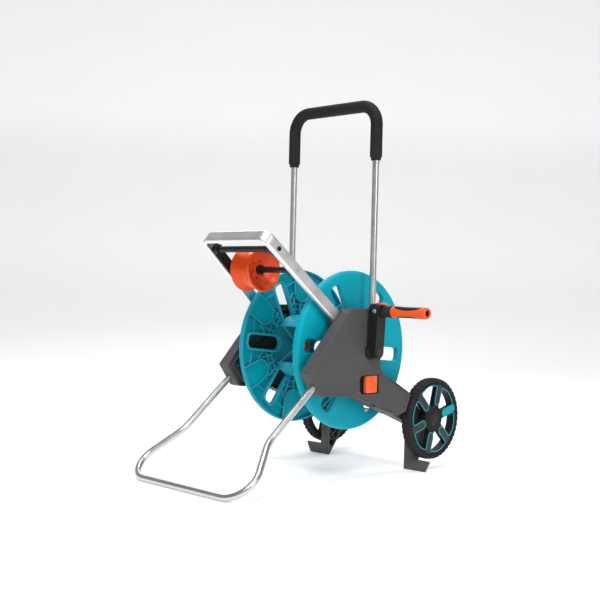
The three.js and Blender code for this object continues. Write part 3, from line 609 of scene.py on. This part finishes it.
def latches():
    bm = bmesh.new()
    block(bm, (147, -14, 200.5), (157.5, 24, 240.8), 1.4)
    pair("latch_button", bm, "handle_latch_{side}", ORANGE, ("latch",))


# ---- Frames, feet and fasteners ----
def housings():
    for side in ("right", "left"):
        softened(f"side_frame_{side}", BLACK, 0.6)
        softened(f"foot_{side}", COVER, 1.4)
        softened(f"guide_bracket_{side}", SATIN, 0.6)
    bearing = bmesh.new()
    lathe(bearing, rounded_profile([(12.4, 116), (16, 116), (16, 128.4), (12.4, 128.4), (12.4, 116)], 0.4),
          loop=False)
    pair("bearing", bearing, "cart", BLACK, ("drum_bearing",))
    guide = bmesh.new()
    lathe(guide, rounded_profile([(8.4, 387), (11.2, 387), (11.2, 401.5), (8.4, 401.5), (8.4, 387)], 0.8),
          HANDLE_Y,
          axis="z", at=HANDLE_X, sides=48)
    pair("tube_guide", guide, "cart", BLACK, ("handle_guide",))
    for number, (y, z) in enumerate(((-168, 252), (-12, 370), (78, 190)), 1):
        bm = bmesh.new()
        lathe(bm, [(0, 123.6), (1.3, 123.5), (1.6, 122.3), (2.6, 122.3), (3.8, 122.9), (4.2, 124.2),
                   (3.6, 124.6), (1.7, 124.6),
                   (1.7, 140), (0, 141)], y, z, 24)
        for side, shape in (("right", bm), ("left", reflected(bm))):
            piece(f"screw_{side}_{number}", shape, "cart", ZINC, (f"cover_screw_{side}_{number}",))
    axle = bmesh.new()
    lathe(axle, rounded_profile([(0, -181), (6, -181), (6, 181), (0, 181)], 1), WHEEL_Y, WHEEL_Z, 32)
    piece("axle", axle, "cart", STEEL, ("wheel_axle",))


# ---- Hoop, rods and hose guide ----
def hoop_matrix():
    along = Vector((0, math.cos(HOOP_SLOPE), -math.sin(HOOP_SLOPE)))
    across = Vector((1, 0, 0))
    over = across.cross(along)
    turn = Matrix((across, along, over)).transposed().to_4x4()
    return Matrix.Translation((0, *HOOP_START)) @ turn


def hoop_edge(depth, corner):
    end = HOOP_HALF_SPAN + HOOP_SPLAY * HOOP_LENGTH - depth
    shoulder = HOOP_HALF_SPAN + HOOP_SPLAY * depth - depth
    points = [(-end, HOOP_LENGTH), (-shoulder, depth), (shoulder, depth), (end, HOOP_LENGTH)]
    return fillet(points, [0, corner, corner, 0], 14, closed=False)


def hoop():
    outer = hoop_edge(0, 26)
    inner = hoop_edge(HOOP_THICK, 14)
    rings = []
    for far, near in zip(outer, inner):
        ring = []
        for share, height in rounded_bar():
            flat = far.lerp(near, share)
            ring.append(hoop_matrix() @ Vector((flat.x, flat.y, height)))
        rings.append(ring)
    bm = bmesh.new()
    add_rings(bm, rings)
    piece("hoop_bar", bm, "cart", ALUMINIUM, ("hoop",))


def rounded_bar():
    half = HOOP_WIDTH / 2
    flat = fillet([(0, -half), (HOOP_THICK, -half), (HOOP_THICK, half), (0, half)], [5.6, 3, 3, 5.6], 8)
    return [(p.x / HOOP_THICK, p.y) for p in flat]


def rod_centre(at):
    place = hoop_matrix() @ Vector((0, at, 0))
    return place.y, place.z


def rods():
    for name, (at, radius) in (("upper_rod", UPPER_ROD), ("lower_rod", LOWER_ROD)):
        y, z = rod_centre(at)
        end = HOOP_HALF_SPAN + HOOP_SPLAY * at - HOOP_THICK - 0.8
        bm = bmesh.new()
        lathe(bm, rounded_profile([(0, -end), (radius, -end), (radius, end), (0, end)], 0.6), y, z, 40)
        piece(f"{name}_bar", bm, "cart", SATIN, (name,))
        face = HOOP_HALF_SPAN + HOOP_SPLAY * at + 0.5
        head = bmesh.new()
        if name == "upper_rod":
            lathe(head, rounded_profile([(0, face - 20), (3.1, face - 20), (3.1, face), (5.4, face),
                                         (5.4, face + 1.2),
                                         (3.4, face + 1.2), (3.0, face + 0.3), (0,
                                                                                face + 0.3)], 0.3), y, z, 32)
            pair("rod_plug", head, "cart", BLACK, ("upper_rod_plug",))
        else:
            lathe(head, rounded_profile([(0, face - 20), (3.1, face - 20), (3.1, face), (5, face),
                                         (4.2, face + 1.6),
                                         (1.6, face + 1.6), (1.4, face + 0.4), (0,
                                                                                face + 0.4)], 0.3), y, z, 32)
            pair("rod_screw", head, "cart", ZINC, ("lower_rod_screw",))


def spool():
    y, z = rod_centre(LOWER_ROD[0])
    c, h, r = SPOOL_X, SPOOL_HALF, SPOOL_RADIUS
    half = [(9.8, 13), (15, 13), (17, 9), (22, 9.5), (32, 13.5), (41, 19.5), (45.5, 26), (r - 4, h - 0.5),
            (r - 1.5, h), (r, h - 2),
            (r - 0.4, h - 4.5), (r - 5, 16), (r - 8.5, 8), (r - 10, 0)]
    profile = [(a, c + b) for a, b in half] + [(a, c - b) for a, b in reversed(half[:-1])]
    bm = bmesh.new()
    radii = [0.8, 0.8, 1.5, 2, 6, 6, 3, 1, 1, 1, 3, 8, 8, 10]
    radii += radii[-2::-1]
    lathe(bm, [(p.x, p.y) for p in fillet(profile, radii, 5)], y, z, 96, loop=True)
    for side in (-1, 1):
        for k in range(32):
            start = len(bm.verts)
            rib = vectors([(24, 9), (33, 13), (42, 19), (46, 26), (46.6, 27.6), (41.6, 21.4), (32.5, 15.2),
                           (24, 10.8)])
            add_rings(bm, [[Vector((c + side * p.y, p.x, 0.6)) for p in rib],
                           [Vector((c + side * p.y, p.x, -0.6)) for p in rib]])
            moved(bm, Matrix.Translation((0, y, z)) @ Matrix.Rotation(2 * math.pi * k / 32, 4, "X"), start)
    piece("guide_roller", bm, "guide_roller", SPOOL, ("guide_spool",), sharp=40)
    # Thin black plates on the dish faces near the hub: painted shade standing in for the dark openings, which are not
    # cut.
    holes = bmesh.new()
    for side in (-1, 1):
        for k in range(6):
            start = len(holes.verts)
            x = c + side * 9.4
            slab(holes, fillet([(18.6, -2.6), (21.6, -2.6), (21.6, 2.6), (18.6, 2.6)], 1, 3), (), x - 0.5,
                 x + 0.5, 0.1)
            moved(holes, Matrix.Translation((0, y, z)) @ Matrix.Rotation(2 * math.pi * (k + 0.3) / 6, 4,
                                                                         "X"), start)
    piece("roller_hole_shade", holes, "guide_roller", BLACK)
    sleeve = bmesh.new()
    bore = LOWER_ROD[1] + 0.35
    lathe(sleeve, rounded_profile([(bore, c - 17), (11.6, c - 17), (11.6, c - 14.5), (9.6, c - 14.5),
                                   (9.6, c + 17.5), (11.6, c + 17.5),
                                   (11.6, c + 20), (bore, c + 20), (bore, c - 17)], 0.4), y, z, 40)
    piece("roller_sleeve", sleeve, "guide_carriage", SATIN, ("guide_sleeve",))


# ---- Stand and handle tubes ----
def stand():
    rise = (222.4 - 8) / (-177.5 + 435)
    inside = -177.5 + 58 * math.cos(math.atan(rise))

    def height(y):
        return 8 + (y + 435) * rise

    corners = [(141.5, inside, height(inside)), (141.5, -314, height(-314)), (220.4, -435, 8),
               (-220.4, -435, 8), (-141.5, -314, height(-314)), (-141.5, inside, height(inside))]
    bm = bmesh.new()
    round_tube(bm, fillet(corners, [0, 70, 62, 62, 70, 0], 14, closed=False), TUBE_RADIUS, 32)
    piece("stand_loop", bm, "cart", STEEL, ("stand_tube",), sharp=60)


def handle_path(bottom):
    corners = [(HANDLE_X, HANDLE_Y, bottom), (HANDLE_X, HANDLE_Y, HANDLE_TOP),
               (-HANDLE_X, HANDLE_Y, HANDLE_TOP),
               (-HANDLE_X, HANDLE_Y, bottom)]
    return fillet(corners, [0, 47, 47, 0], 16, closed=False)


def handle():
    bm = bmesh.new()
    round_tube(bm, handle_path(HANDLE_BOTTOM), TUBE_RADIUS, 32)
    piece("handle_bow", bm, "handle", STEEL, ("handle_tube",), sharp=60)
    foam = bmesh.new()
    round_tube(foam, handle_path(GRIP_END), GRIP_RADIUS - 0.1, 40, 3)
    piece("handle_foam", foam, "handle", FOAM, ("handle_grip",), sharp=60)
    band = bmesh.new()
    lathe(band, rounded_profile([(8.2, GRIP_END - 6), (11.4, GRIP_END - 6), (12.4, GRIP_END + 2),
                                 (8.2, GRIP_END + 2),
                                 (8.2, GRIP_END - 6)], 0.8), HANDLE_Y, axis="z", at=HANDLE_X, sides=48)
    pair("foam_band", band, "handle", FOAM)
    plug = bmesh.new()
    lathe(plug, rounded_profile([(0, HANDLE_BOTTOM - 3.4), (7.6, HANDLE_BOTTOM - 3.4),
                                 (7.6, HANDLE_BOTTOM - 0.3),
                                 (0, HANDLE_BOTTOM - 0.3)], 1), HANDLE_Y, axis="z", at=HANDLE_X, sides=32)
    pair("bow_plug", plug, "handle", BLACK, ("tube_plug",))


# ---- Drum ----
def slot_outline(grow=0.0):
    half = SLOT_HALF + grow
    corner = 11 + grow
    end = SLOT_END + grow
    start = SLOT_START + SLOT_HALF
    points = arc(end - corner, -half + corner, corner, -math.pi / 2, 0, 6)
    points += arc(end - corner, half - corner, corner, 0, math.pi / 2, 6)
    points += arc(start, 0, half, math.pi / 2, math.pi * 1.5, 14)
    return points


def turned_flat(points, angle):
    turn = Matrix.Rotation(angle, 2)
    return [turn @ p + Vector((0, DRUM_Z)) for p in points]


def wall(bm, outer, inner, x0, x1, edge=1.2):
    """A closed upstanding wall between two outlines of equal length, with a rounded top at x0."""
    rings = []
    for loop, away, x in ((outer, 0, x1), (outer, 0, x0 + edge), (outer, edge * 0.7, x0 + edge * 0.25),
                          (outer, edge, x0),
                          (inner, -edge, x0), (inner, -edge * 0.7, x0 + edge * 0.25), (inner, 0,
                                                                                       x0 + edge), (inner,
                                                                                                    0, x1)):
        flat = inset(loop, away) if away else loop
        rings.append([Vector((x, p.x, p.y)) for p in flat])
    return add_rings(bm, rings, loop=True)


def upright(bm, outline, x0, x1, edge, steps=3):
    """A raised shape on the drum's side of a flange, from its root at x1 to its rounded top at x0."""
    start = len(bm.verts)
    slab(bm, outline, (), -x1, -x0, edge, back_edge=0, steps=steps)
    moved(bm, Matrix.Scale(-1, 4, (1, 0, 0)), start)


def strip(bm, first, second, half, x0, x1):
    """A straight upstanding rib between two points in the y-z plane."""
    side = Vector((first.y - second.y, second.x - first.x)).normalized() * half
    upright(bm, [first - side, second - side, second + side, first + side], x0, x1, half * 0.8)


def flange():
    bm = bmesh.new()
    centre = Vector((0, DRUM_Z))
    root = FLANGE_INSIDE + 0.4
    angles = [DRUM_TURN + 2 * math.pi * k / SLOTS for k in range(SLOTS)]
    holes = [turned_flat(slot_outline(0.4), a) for a in angles] + [circle(0, DRUM_Z, 12.4, 48)]
    slab(bm, circle(0, DRUM_Z, FLANGE_RADIUS, 144), holes, RIM_BACK, FLANGE_FACE, 9, back_edge=0.8, steps=7,
         recess=(4, FLANGE_INSIDE - RIM_BACK), hole_edge=3.2)
    for angle in angles:
        wall(bm, turned_flat(slot_outline(6.4), angle), turned_flat(slot_outline(0.4), angle), LIP_X, root,
             2.2)
        between = angle + math.pi / SLOTS
        way, along = (Matrix.Rotation(t, 2) @ Vector((1, 0)) for t in (between, angle))
        nose = arc(136, 0, 27, math.pi / 2, math.pi * 1.5, 24)
        petal = [Vector((184, 30)), *nose, Vector((184, -30))]
        upright(bm, turned_flat(petal, between), LIP_X + 5.5, root, 2)
        wall(bm, turned_flat(petal, between), turned_flat(inset(petal, 3), between), LIP_X + 0.5, root, 1.4)
        strip(bm, centre + way * 82, centre + way * 114, 1.5, LIP_X + 1, root)
        for turn in (-0.21, 0.21):
            line = Matrix.Rotation(between + turn, 2) @ Vector((1, 0))
            strip(bm, centre + line * 82, centre + line * 124, 1.4, LIP_X + 2, root)
        for sign in (-1, 1):
            lip_side = Vector((-along.y, along.x)) * sign
            turn = angle + sign * math.pi / SLOTS
            near = Matrix.Rotation(turn, 2) @ Vector((1, 0))
            petal_side = Vector((-near.y, near.x)) * -sign
            for reach, out in ((112, 130), (150, 158)):
                strip(bm, centre + along * reach + lip_side * 20, centre + near * out + petal_side * 27,
                      1.3, LIP_X + 4, root)
        span = math.pi / SLOTS - 0.24
        for radius in (90, 104):
            outer = arc(0, 0, radius + 1.5, between - span, between + span, 14)
            inner = arc(0, 0, radius - 1.5, between + span, between - span, 14)
            upright(bm, [p + centre for p in outer + inner], LIP_X + 2, root, 1.2)
    hub = rounded_profile([(12.4, FLANGE_INSIDE - 0.2), (22, FLANGE_INSIDE - 0.2), (22, FLANGE_FACE + 3),
                           (12.4, FLANGE_FACE + 3),
                           (12.4, FLANGE_INSIDE - 0.2)], 0.8)
    lathe(bm, hub, 0, DRUM_Z, 60)
    pair("flange_disc", bm, "drum", TEAL, ("flange",), sharp=40)


def core():
    bm = bmesh.new()
    centre = Vector((0, DRUM_Z))
    end = FLANGE_INSIDE - 0.3
    for middle in (DRUM_TURN + math.pi / 2, DRUM_TURN - math.pi / 2):
        half = math.radians(55)
        outer = arc(0, 0, CORE_RADIUS, middle - half, middle + half, 40)
        inner = arc(0, 0, CORE_RADIUS - 4, middle + half, middle - half, 40)
        slab(bm, fillet([p + centre for p in outer + inner], 1.2, 3), (), -end, end, 0.3, back_edge=0.3)
        ridge = arc(0, 0, CORE_RADIUS + 1.6, middle - half, middle + half, 40)
        for x in (-48, 0, 48):
            slab(bm, [p + centre for p in ridge + inner], (), x - 1.2, x + 1.2, 0.5, back_edge=0.5)
    for side in (-1, 1):
        x = side * (end - 12)
        for tilt in (-38.4, 38.4, 141.6, 218.4):
            way = Matrix.Rotation(DRUM_TURN + math.radians(tilt), 2) @ Vector((1, 0))
            across = Vector((-way.y, way.x)) * 2.4
            near, far = centre + way * 14, centre + way * (CORE_RADIUS - 2)
            slab(bm, [near - across, far - across, far + across, near + across], (), x - 4, x + 4, 0.7,
                 back_edge=0.7)
        inner_x, outer_x = side * (end - 14), side * end
        lathe(bm, rounded_profile([(12.4, inner_x), (20, inner_x), (20, outer_x), (12.4, outer_x),
                                   (12.4, inner_x)], 0.8),
              0, DRUM_Z, 60)
    piece("core_walls", bm, "drum", TEAL, ("drum_core",), sharp=40)
    shaft = bmesh.new()
    lathe(shaft, rounded_profile([(0, 78), (12, 78), (12, 151.6), (8, 151.6), (8, 167.6), (0, 167.6)], 0.8),
          0, DRUM_Z, 48)
    pair("shaft_stub", shaft, "drum", BLACK, ("drum_shaft",))
    hose = bmesh.new()
    x = -77.7
    lathe(hose, rounded_profile([(0, x), (9, x), (9, x + 8), (7, x + 9), (8.6, x + 16), (7, x + 17),
                                 (8.6, x + 22), (7, x + 27),
                                 (4.4, x + 27), (4.4, x + 10), (0, x + 10)], 0.4), 0, DRUM_Z, 40)
    piece("hose_spigot", hose, "drum", ORANGE, ("hose_connector",))


# ---- Crank ----
def crank():
    softened("crank_arm", SATIN, 1.3)
    cap = bmesh.new()
    lathe(cap, rounded_profile([(0, CRANK_FACE - 2.2), (11.4, CRANK_FACE - 2.2), (11.4, CRANK_FACE + 1.4),
                                (9.8, CRANK_FACE + 2.6),
                                (8.6, CRANK_FACE + 1.8), (0, CRANK_FACE + 1.9)], 0.5), 0, DRUM_Z, 56)
    piece("crank_button", cap, "drum", CAP, ("crank_cap",))
    screw = bmesh.new()
    head = CRANK_HALF + 0.3
    lathe(screw, rounded_profile([(0, -head - 0.6), (2.2, -head - 0.6), (2.4, -head - 1.8),
                                  (4.6, -head - 1.8), (5.2, -head - 0.8),
                                  (5.2, -head), (3, -head), (3, head), (5.2, head), (5.2, head + 1.2), (0,
                                                                                                        head + 1.6)], 0.25),
          z=PIVOT_Z, axis="y", at=PIVOT_X, sides=40)
    piece("pivot_pin", screw, "drum", ZINC, ("crank_pivot_screw",))
    softened("crank_knuckle", SATIN, 0.7)
    lock = bmesh.new()
    top = fillet([(169.2, 408), (169.2, 411.4), (172, 413.5), (190, 413.5), (199, 411.8), (204.8, 409.5),
                  (204.8, 408)], 2, 4)
    start = len(lock.verts)
    slab(lock, [Vector((-p.x, p.y)) for p in top], (), -5.2, 5.2, 1.2, back_edge=1.2)
    moved(lock, Matrix.Rotation(math.pi / 2, 4, "Z"), start)
    piece("lock_button", lock, "crank_lock", ORANGE, ("fold_lock",))
    first, last = CRANK_GRIP
    profile = [(8, first), (12, first), (13.5, first + 3), (13.2, first + 12), (12.4, first + 28),
               (12.2, first + 50), (12.4, first + 72),
               (13.3, last - 12), (13.6, last - 4), (11.6, last), (8.4, last), (7.2, last - 1.2), (7,
                                                                                                   last - 10), (0, last - 10)]
    grip = bmesh.new()
    outer = rounded_profile(profile, 1.2)
    lathe(grip, [(0, first + 2), (8, first + 2)] + outer, 0, PIVOT_Z, 72)
    piece("grip_sleeve", grip, "crank_handgrip", ORANGE, ("crank_grip",))
    bore = bmesh.new()
    lathe(bore, rounded_profile([(0, last - 9.9), (6.9, last - 9.9), (8.1, last - 0.5), (7.6, last - 0.5),
                                 (6.2, last - 8.5), (0, last - 8.5)],
                                0.3), 0, PIVOT_Z, 48)
    piece("grip_bore", bore, "crank_handgrip", BLACK)
    inlay = bmesh.new()

    def radius_at(x):
        for (r0, x0), (r1, x1) in zip(profile[2:9], profile[3:9]):
            if x0 <= x <= x1:
                return r0 + (r1 - r0) * (x - x0) / (x1 - x0)
        return profile[2][0]

    for sign in (-1, 1):
        rings = []
        steps = 40
        for i in range(steps + 1):
            share = i / steps
            x = first + 9 + (last - first - 24) * share
            rounding = math.sqrt(max(0.0, 1 - (2 * share - 1) ** 10))
            spread = math.radians(34 + 22 * math.sin(math.pi * share)) * max(rounding, 0.12)
            ring = []
            for lift, order in ((0.35, 1), (-1.2, -1)):
                for k in range(13):
                    angle = math.pi / 2 + sign * INLAY_TURN + order * spread * (1 - 2 * k / 12)
                    edge = 0 if 0 < k < 12 else -0.3 * (lift > 0)
                    r = radius_at(x) + lift + edge
                    ring.append(Vector((x, r * math.cos(angle), PIVOT_Z + sign * r * math.sin(angle))))
            rings.append(ring)
        add_rings(inlay, rings)
    piece("grip_inlays", inlay, "crank_handgrip", BLACK)


# ---- Water inlet ----
def inlet():
    bm = bmesh.new()
    lathe(bm, rounded_profile([(0, -179), (15, -179), (15, -155.6), (8.4, -155.6), (8.4, -168.6),
                               (0, -168.6)], 1), 0, DRUM_Z, 56)
    start = len(bm.verts)
    lathe(bm, rounded_profile([(0, 0), (10, 0), (10, 20), (8.4, 21), (8.4, 26), (9.6, 27), (8.2, 30),
                               (8.2, 34), (5, 34), (5, 18), (0, 18)],
                              0.4), 0, 0, 48, axis="y", at=0)
    moved(bm, Matrix.Translation((-168, 0, DRUM_Z)) @ Matrix.Rotation(math.pi * 1.2, 4, "X"), start)
    piece("inlet_body", bm, "inlet", BLACK, ("inlet_elbow",))
    ring = bmesh.new()
    lathe(ring, rounded_profile([(16.4, -157.6), (19.6, -157.6), (19.6, -155.8), (16.4, -155.8),
                                 (16.4, -157.6)], 0.4), 0, DRUM_Z, 64)
    piece("inlet_ring", ring, "inlet", ORANGE, ("inlet_collar",))


# ---- Wheels ----
def spoke_angles():
    return [SPOKE_TURN + 2 * math.pi * k / SPOKES for k in range(SPOKES)]


def opening(middle):
    half = math.pi / SPOKES
    outer, inner = 82.5, 33
    reach = half - math.asin((SPOKE_HALF + 1.2) / outer)
    tight = half - math.asin((SPOKE_HALF + 1.2) / inner)
    points = arc(0, 0, outer, middle - reach, middle + reach, 12) + arc(0, 0, inner, middle + tight,
                                                                        middle - tight, 4)
    corners = fillet(points, [6 if i in (0, 12, 13, 17) else 0 for i in range(len(points))], 5)
    return [p + Vector((WHEEL_Y, WHEEL_Z)) for p in corners]


def wheels():
    centre = Vector((WHEEL_Y, WHEEL_Z))
    rim = bmesh.new()
    openings = [opening(a + math.pi / SPOKES) for a in spoke_angles()]
    slab(rim, circle(*centre, RIM_RADIUS, 120), openings + [circle(*centre, 8.7, 40)], 171, RIM_FACE, 1.4,
         back_edge=0.6)
    barrel = rounded_profile([(83.5, 160.4), (RIM_RADIUS, 160.4), (RIM_RADIUS, 175), (83.5, 175),
                              (83.5, 160.4)], 0.8)
    lathe(rim, barrel, *centre, 120)
    hub = rounded_profile([(8.7, 160), (22, 160), (25, 172), (8.7, 172), (8.7, 160)], 0.8)
    lathe(rim, hub, *centre, 60)
    for a in spoke_angles():
        way = Vector((math.cos(a), math.sin(a)))
        start = len(rim.verts)
        side = Vector((-way.y, way.x)) * 2
        outline = [centre + way * 20 - side, centre + way * 85 - side, centre + way * 85 + side,
                   centre + way * 20 + side]
        slab(rim, outline, (), 163, 172, 0.6, back_edge=0.6)
    pair("rim_disc", rim, "wheel_{side}", BLACK, ("wheel_rim",), sharp=40)

    panels = bmesh.new()
    solid = bmesh.new()
    path = []
    for number, a in enumerate(spoke_angles()):
        low, high = 36, 86
        turn = Matrix.Rotation(a, 2)
        end = arc(low + SPOKE_HALF - 1, 0, SPOKE_HALF - 1.6, math.pi / 2, math.pi * 1.5, 12)
        flat = [Vector((high, SPOKE_HALF - 1.6))] + end + [Vector((high, 1.6 - SPOKE_HALF))]
        outline = [turn @ p + centre for p in flat]
        target = solid if number == SPOKES - 1 else panels
        slab(target, outline, (), RIM_FACE - 0.4, RIM_FACE + 0.9, 0.6, back_edge=0)
        nose = arc(low + SPOKE_HALF - 1, 0, SPOKE_HALF, math.pi * 1.5, math.pi / 2, 10)
        flat = [Vector((84, -SPOKE_HALF))] + nose + [Vector((84, SPOKE_HALF))]
        path += [turn @ p for p in flat]
    line = fillet(path, [5 if i % 13 in (0, 12) else 0 for i in range(len(path))], 5)
    full = []
    for here, after in zip(line, line[1:] + line[:1]):
        full.append(here)
        gap = (after - here).length
        if here.length > 80 and after.length > 80 and gap > 12:
            first = math.atan2(here.y, here.x)
            sweep_by = (math.atan2(after.y, after.x) - first + math.pi) % (2 * math.pi) - math.pi
            for k in range(1, 12):
                angle = first + sweep_by * k / 12
                full.append(Vector((math.cos(angle),
                                    math.sin(angle))) * (here.length + 2.2 * math.sin(math.pi * k / 12)))
    trim = bmesh.new()
    x = RIM_FACE + 0.2
    section = fillet([(-1.1, -0.7), (1.1, -0.7), (1.1, 0.7), (-1.1, 0.7)], 0.4, 2)
    sweep(trim, [Vector((x, p.x + WHEEL_Y, p.y + WHEEL_Z)) for p in full], [(v, u) for u, v in section],
          side=(1, 0, 0), loop=True)
    pair("trim_line", trim, "wheel_{side}", TEAL, ("wheel_trim",))
    pair("spoke_panels", panels, "wheel_{side}", CAP)
    pair("spoke_accent", solid, "wheel_{side}", TEAL)

    cap = bmesh.new()
    lathe(cap, rounded_profile([(0, RIM_FACE - 1), (17, RIM_FACE - 1), (17, RIM_FACE + 0.4),
                                (14.5, RIM_FACE + 1.8), (12.5, RIM_FACE + 1),
                                (11, RIM_FACE + 2.2), (0, RIM_FACE + 3)], 0.6), *centre, 56)
    pair("hub_button", cap, "wheel_{side}", SATIN, ("hub_cap",))
    bush = bmesh.new()
    lathe(bush, rounded_profile([(6.4, 160), (8.4, 160), (8.4, 182), (6.4, 182), (6.4, 160)], 0.3), *centre,
          40)
    pair("axle_bush", bush, "wheel_{side}", BLACK, ("wheel_bush",))

    tyre = bmesh.new()
    r = TYRE_RADIUS
    profile = fillet([(89.8, TYRE_IN + 2), (93, TYRE_IN), (r - 5, TYRE_IN), (r - 1.8, TYRE_IN + 5),
                      (r - 1.8, TYRE_OUT - 5), (r - 5, TYRE_OUT),
                      (93, TYRE_OUT), (89.8, TYRE_OUT - 2)], 2, 4)
    lathe(tyre, [(p.x, p.y) for p in profile], *centre, 144, loop=True)
    lugs = 44
    for row, (x0, x1) in enumerate(((TYRE_IN + 1.2, TYRE_IN + 11.6), (TYRE_OUT - 11.6, TYRE_OUT - 1.2))):
        for k in range(lugs):
            start = len(tyre.verts)
            angle = 2 * math.pi * (k + 0.5 * row) / lugs
            rings = []
            for lift, wide, trim_by in ((-5, 4.9, 0.0), (-0.4, 4.7, 0.3), (0, 4.3, 0.7)):
                rings.append([Vector((xx, s * wide, r + lift - (1.4 if edge else 0)))
                              for xx, s, edge in ((x0 + trim_by, -1, row == 0),
                                                  (x1 - trim_by, -1, row == 1),
                                                  (x1 - trim_by, 1, row == 1), (x0 + trim_by, 1,
                                                                                row == 0))])
            add_rings(tyre, rings)
            place = Matrix.Translation((0, *centre)) @ Matrix.Rotation(angle, 4, "X")
            moved(tyre, place, start)
    pair("tyre_tread", tyre, "wheel_{side}", TYRE, ("tyre",), sharp=36)


covers()
latches()
housings()
hoop()
rods()
spool()
stand()
handle()
flange()
core()
crank()
inlet()
wheels()


# ---- Studio ----
def studio():
    bm = bmesh.new()
    back = [(-9, 0), (3.2, 0), (4.6, 0.35), (5.3, 1.5), (5.5, 5)]
    soft = fillet(back, [0, 0.8, 0.8, 0.8, 0], 8, closed=False)
    direction = Vector((-math.sin(math.radians(44.8)), math.cos(math.radians(44.8)), 0))
    side = Vector((direction.y, -direction.x, 0))
    rings = []
    for across in (-9, 9):
        rings.append([direction * p.x + side * across + Vector((0, 0, p.y)) for p in soft])
    rows = [[bm.verts.new(p) for p in ring] for ring in rings]
    for i in range(len(rows[0]) - 1):
        bm.faces.new((rows[0][i], rows[1][i], rows[1][i + 1], rows[0][i + 1]))
    for face in bm.faces:
        face.smooth = True
    bmesh.ops.recalc_face_normals(bm, faces=bm.faces)
    mesh = bpy.data.meshes.new("floor")
    bm.to_mesh(mesh)
    bm.free()
    paper = Nodes("paper")
    tone = paper.colour(paper.ramp(paper.noise(3, 2), 0.3, 0.7), (0.93, 0.93, 0.93), (0.95, 0.95, 0.95))
    paper.put(tone, paper.shader.inputs["Base Color"])
    paper.shader.inputs["Roughness"].default_value = 0.9
    paper.shader.inputs["Emission Color"].default_value = (1, 1, 1, 1)
    paper.shader.inputs["Emission Strength"].default_value = 0.3
    mesh.materials.append(paper.material)
    floor = bpy.data.objects.new("floor", mesh)
    bpy.context.scene.collection.objects.link(floor)


def lamp(name, place, target, size, watts):
    data = bpy.data.lights.new(name, "AREA")
    data.shape = "RECTANGLE"
    data.size, data.size_y = size
    data.energy = watts
    obj = bpy.data.objects.new(name, data)
    obj.location = place
    obj.rotation_mode = "QUATERNION"
    obj.rotation_quaternion = (Vector(target) - Vector(place)).to_track_quat("-Z", "Y")
    bpy.context.scene.collection.objects.link(obj)


def lights():
    """A dim even room and four soft lamps. The key stands high on the crank side."""
    world = bpy.data.worlds.new("studio")
    bpy.context.scene.world = world
    world.use_nodes = True
    ground = world.node_tree.nodes["Background"]
    ground.inputs["Color"].default_value = (0.97, 0.98, 1.0, 1)
    ground.inputs["Strength"].default_value = 0.3
    lamp("key", (1.5, -2.1, 3.2), (0, 0, 0.35), (0.9, 0.9), 62)
    lamp("side", (3.2, -0.3, 1.5), (0, 0, 0.35), (0.8, 1.6), 26)
    lamp("top", (-0.1, 0.2, 3.2), (0, 0, 0.2), (1.6, 1.6), 46)
    lamp("rim", (-2.4, 1.4, 2.2), (0, 0, 0.4), (1.0, 1.6), 18)


def camera():
    turn, lift, roll = math.radians(44.78), math.radians(1.02), math.radians(1.37)
    back = Vector((math.sin(turn) * math.cos(lift), -math.cos(turn) * math.cos(lift), math.sin(lift)))
    right = Vector((math.cos(turn), math.sin(turn), 0))
    up = back.cross(right)
    tilted_right = right * math.cos(roll) + up * math.sin(roll)
    tilted_up = up * math.cos(roll) - right * math.sin(roll)
    data = bpy.data.cameras.new("camera")
    data.lens = 61.7
    data.sensor_width = 36
    data.clip_end = 60
    obj = bpy.data.objects.new("camera", data)
    turn_matrix = Matrix((tilted_right, tilted_up, back)).transposed().to_4x4()
    place = TO_ROW @ Vector((1736.1, -1832.9, 458.5))
    obj.matrix_world = Matrix.Translation(place) @ turn_matrix
    bpy.context.scene.collection.objects.link(obj)
    bpy.context.scene.camera = obj


camera()
studio()
lights()
bpy.context.scene.view_settings.view_transform = "Standard"
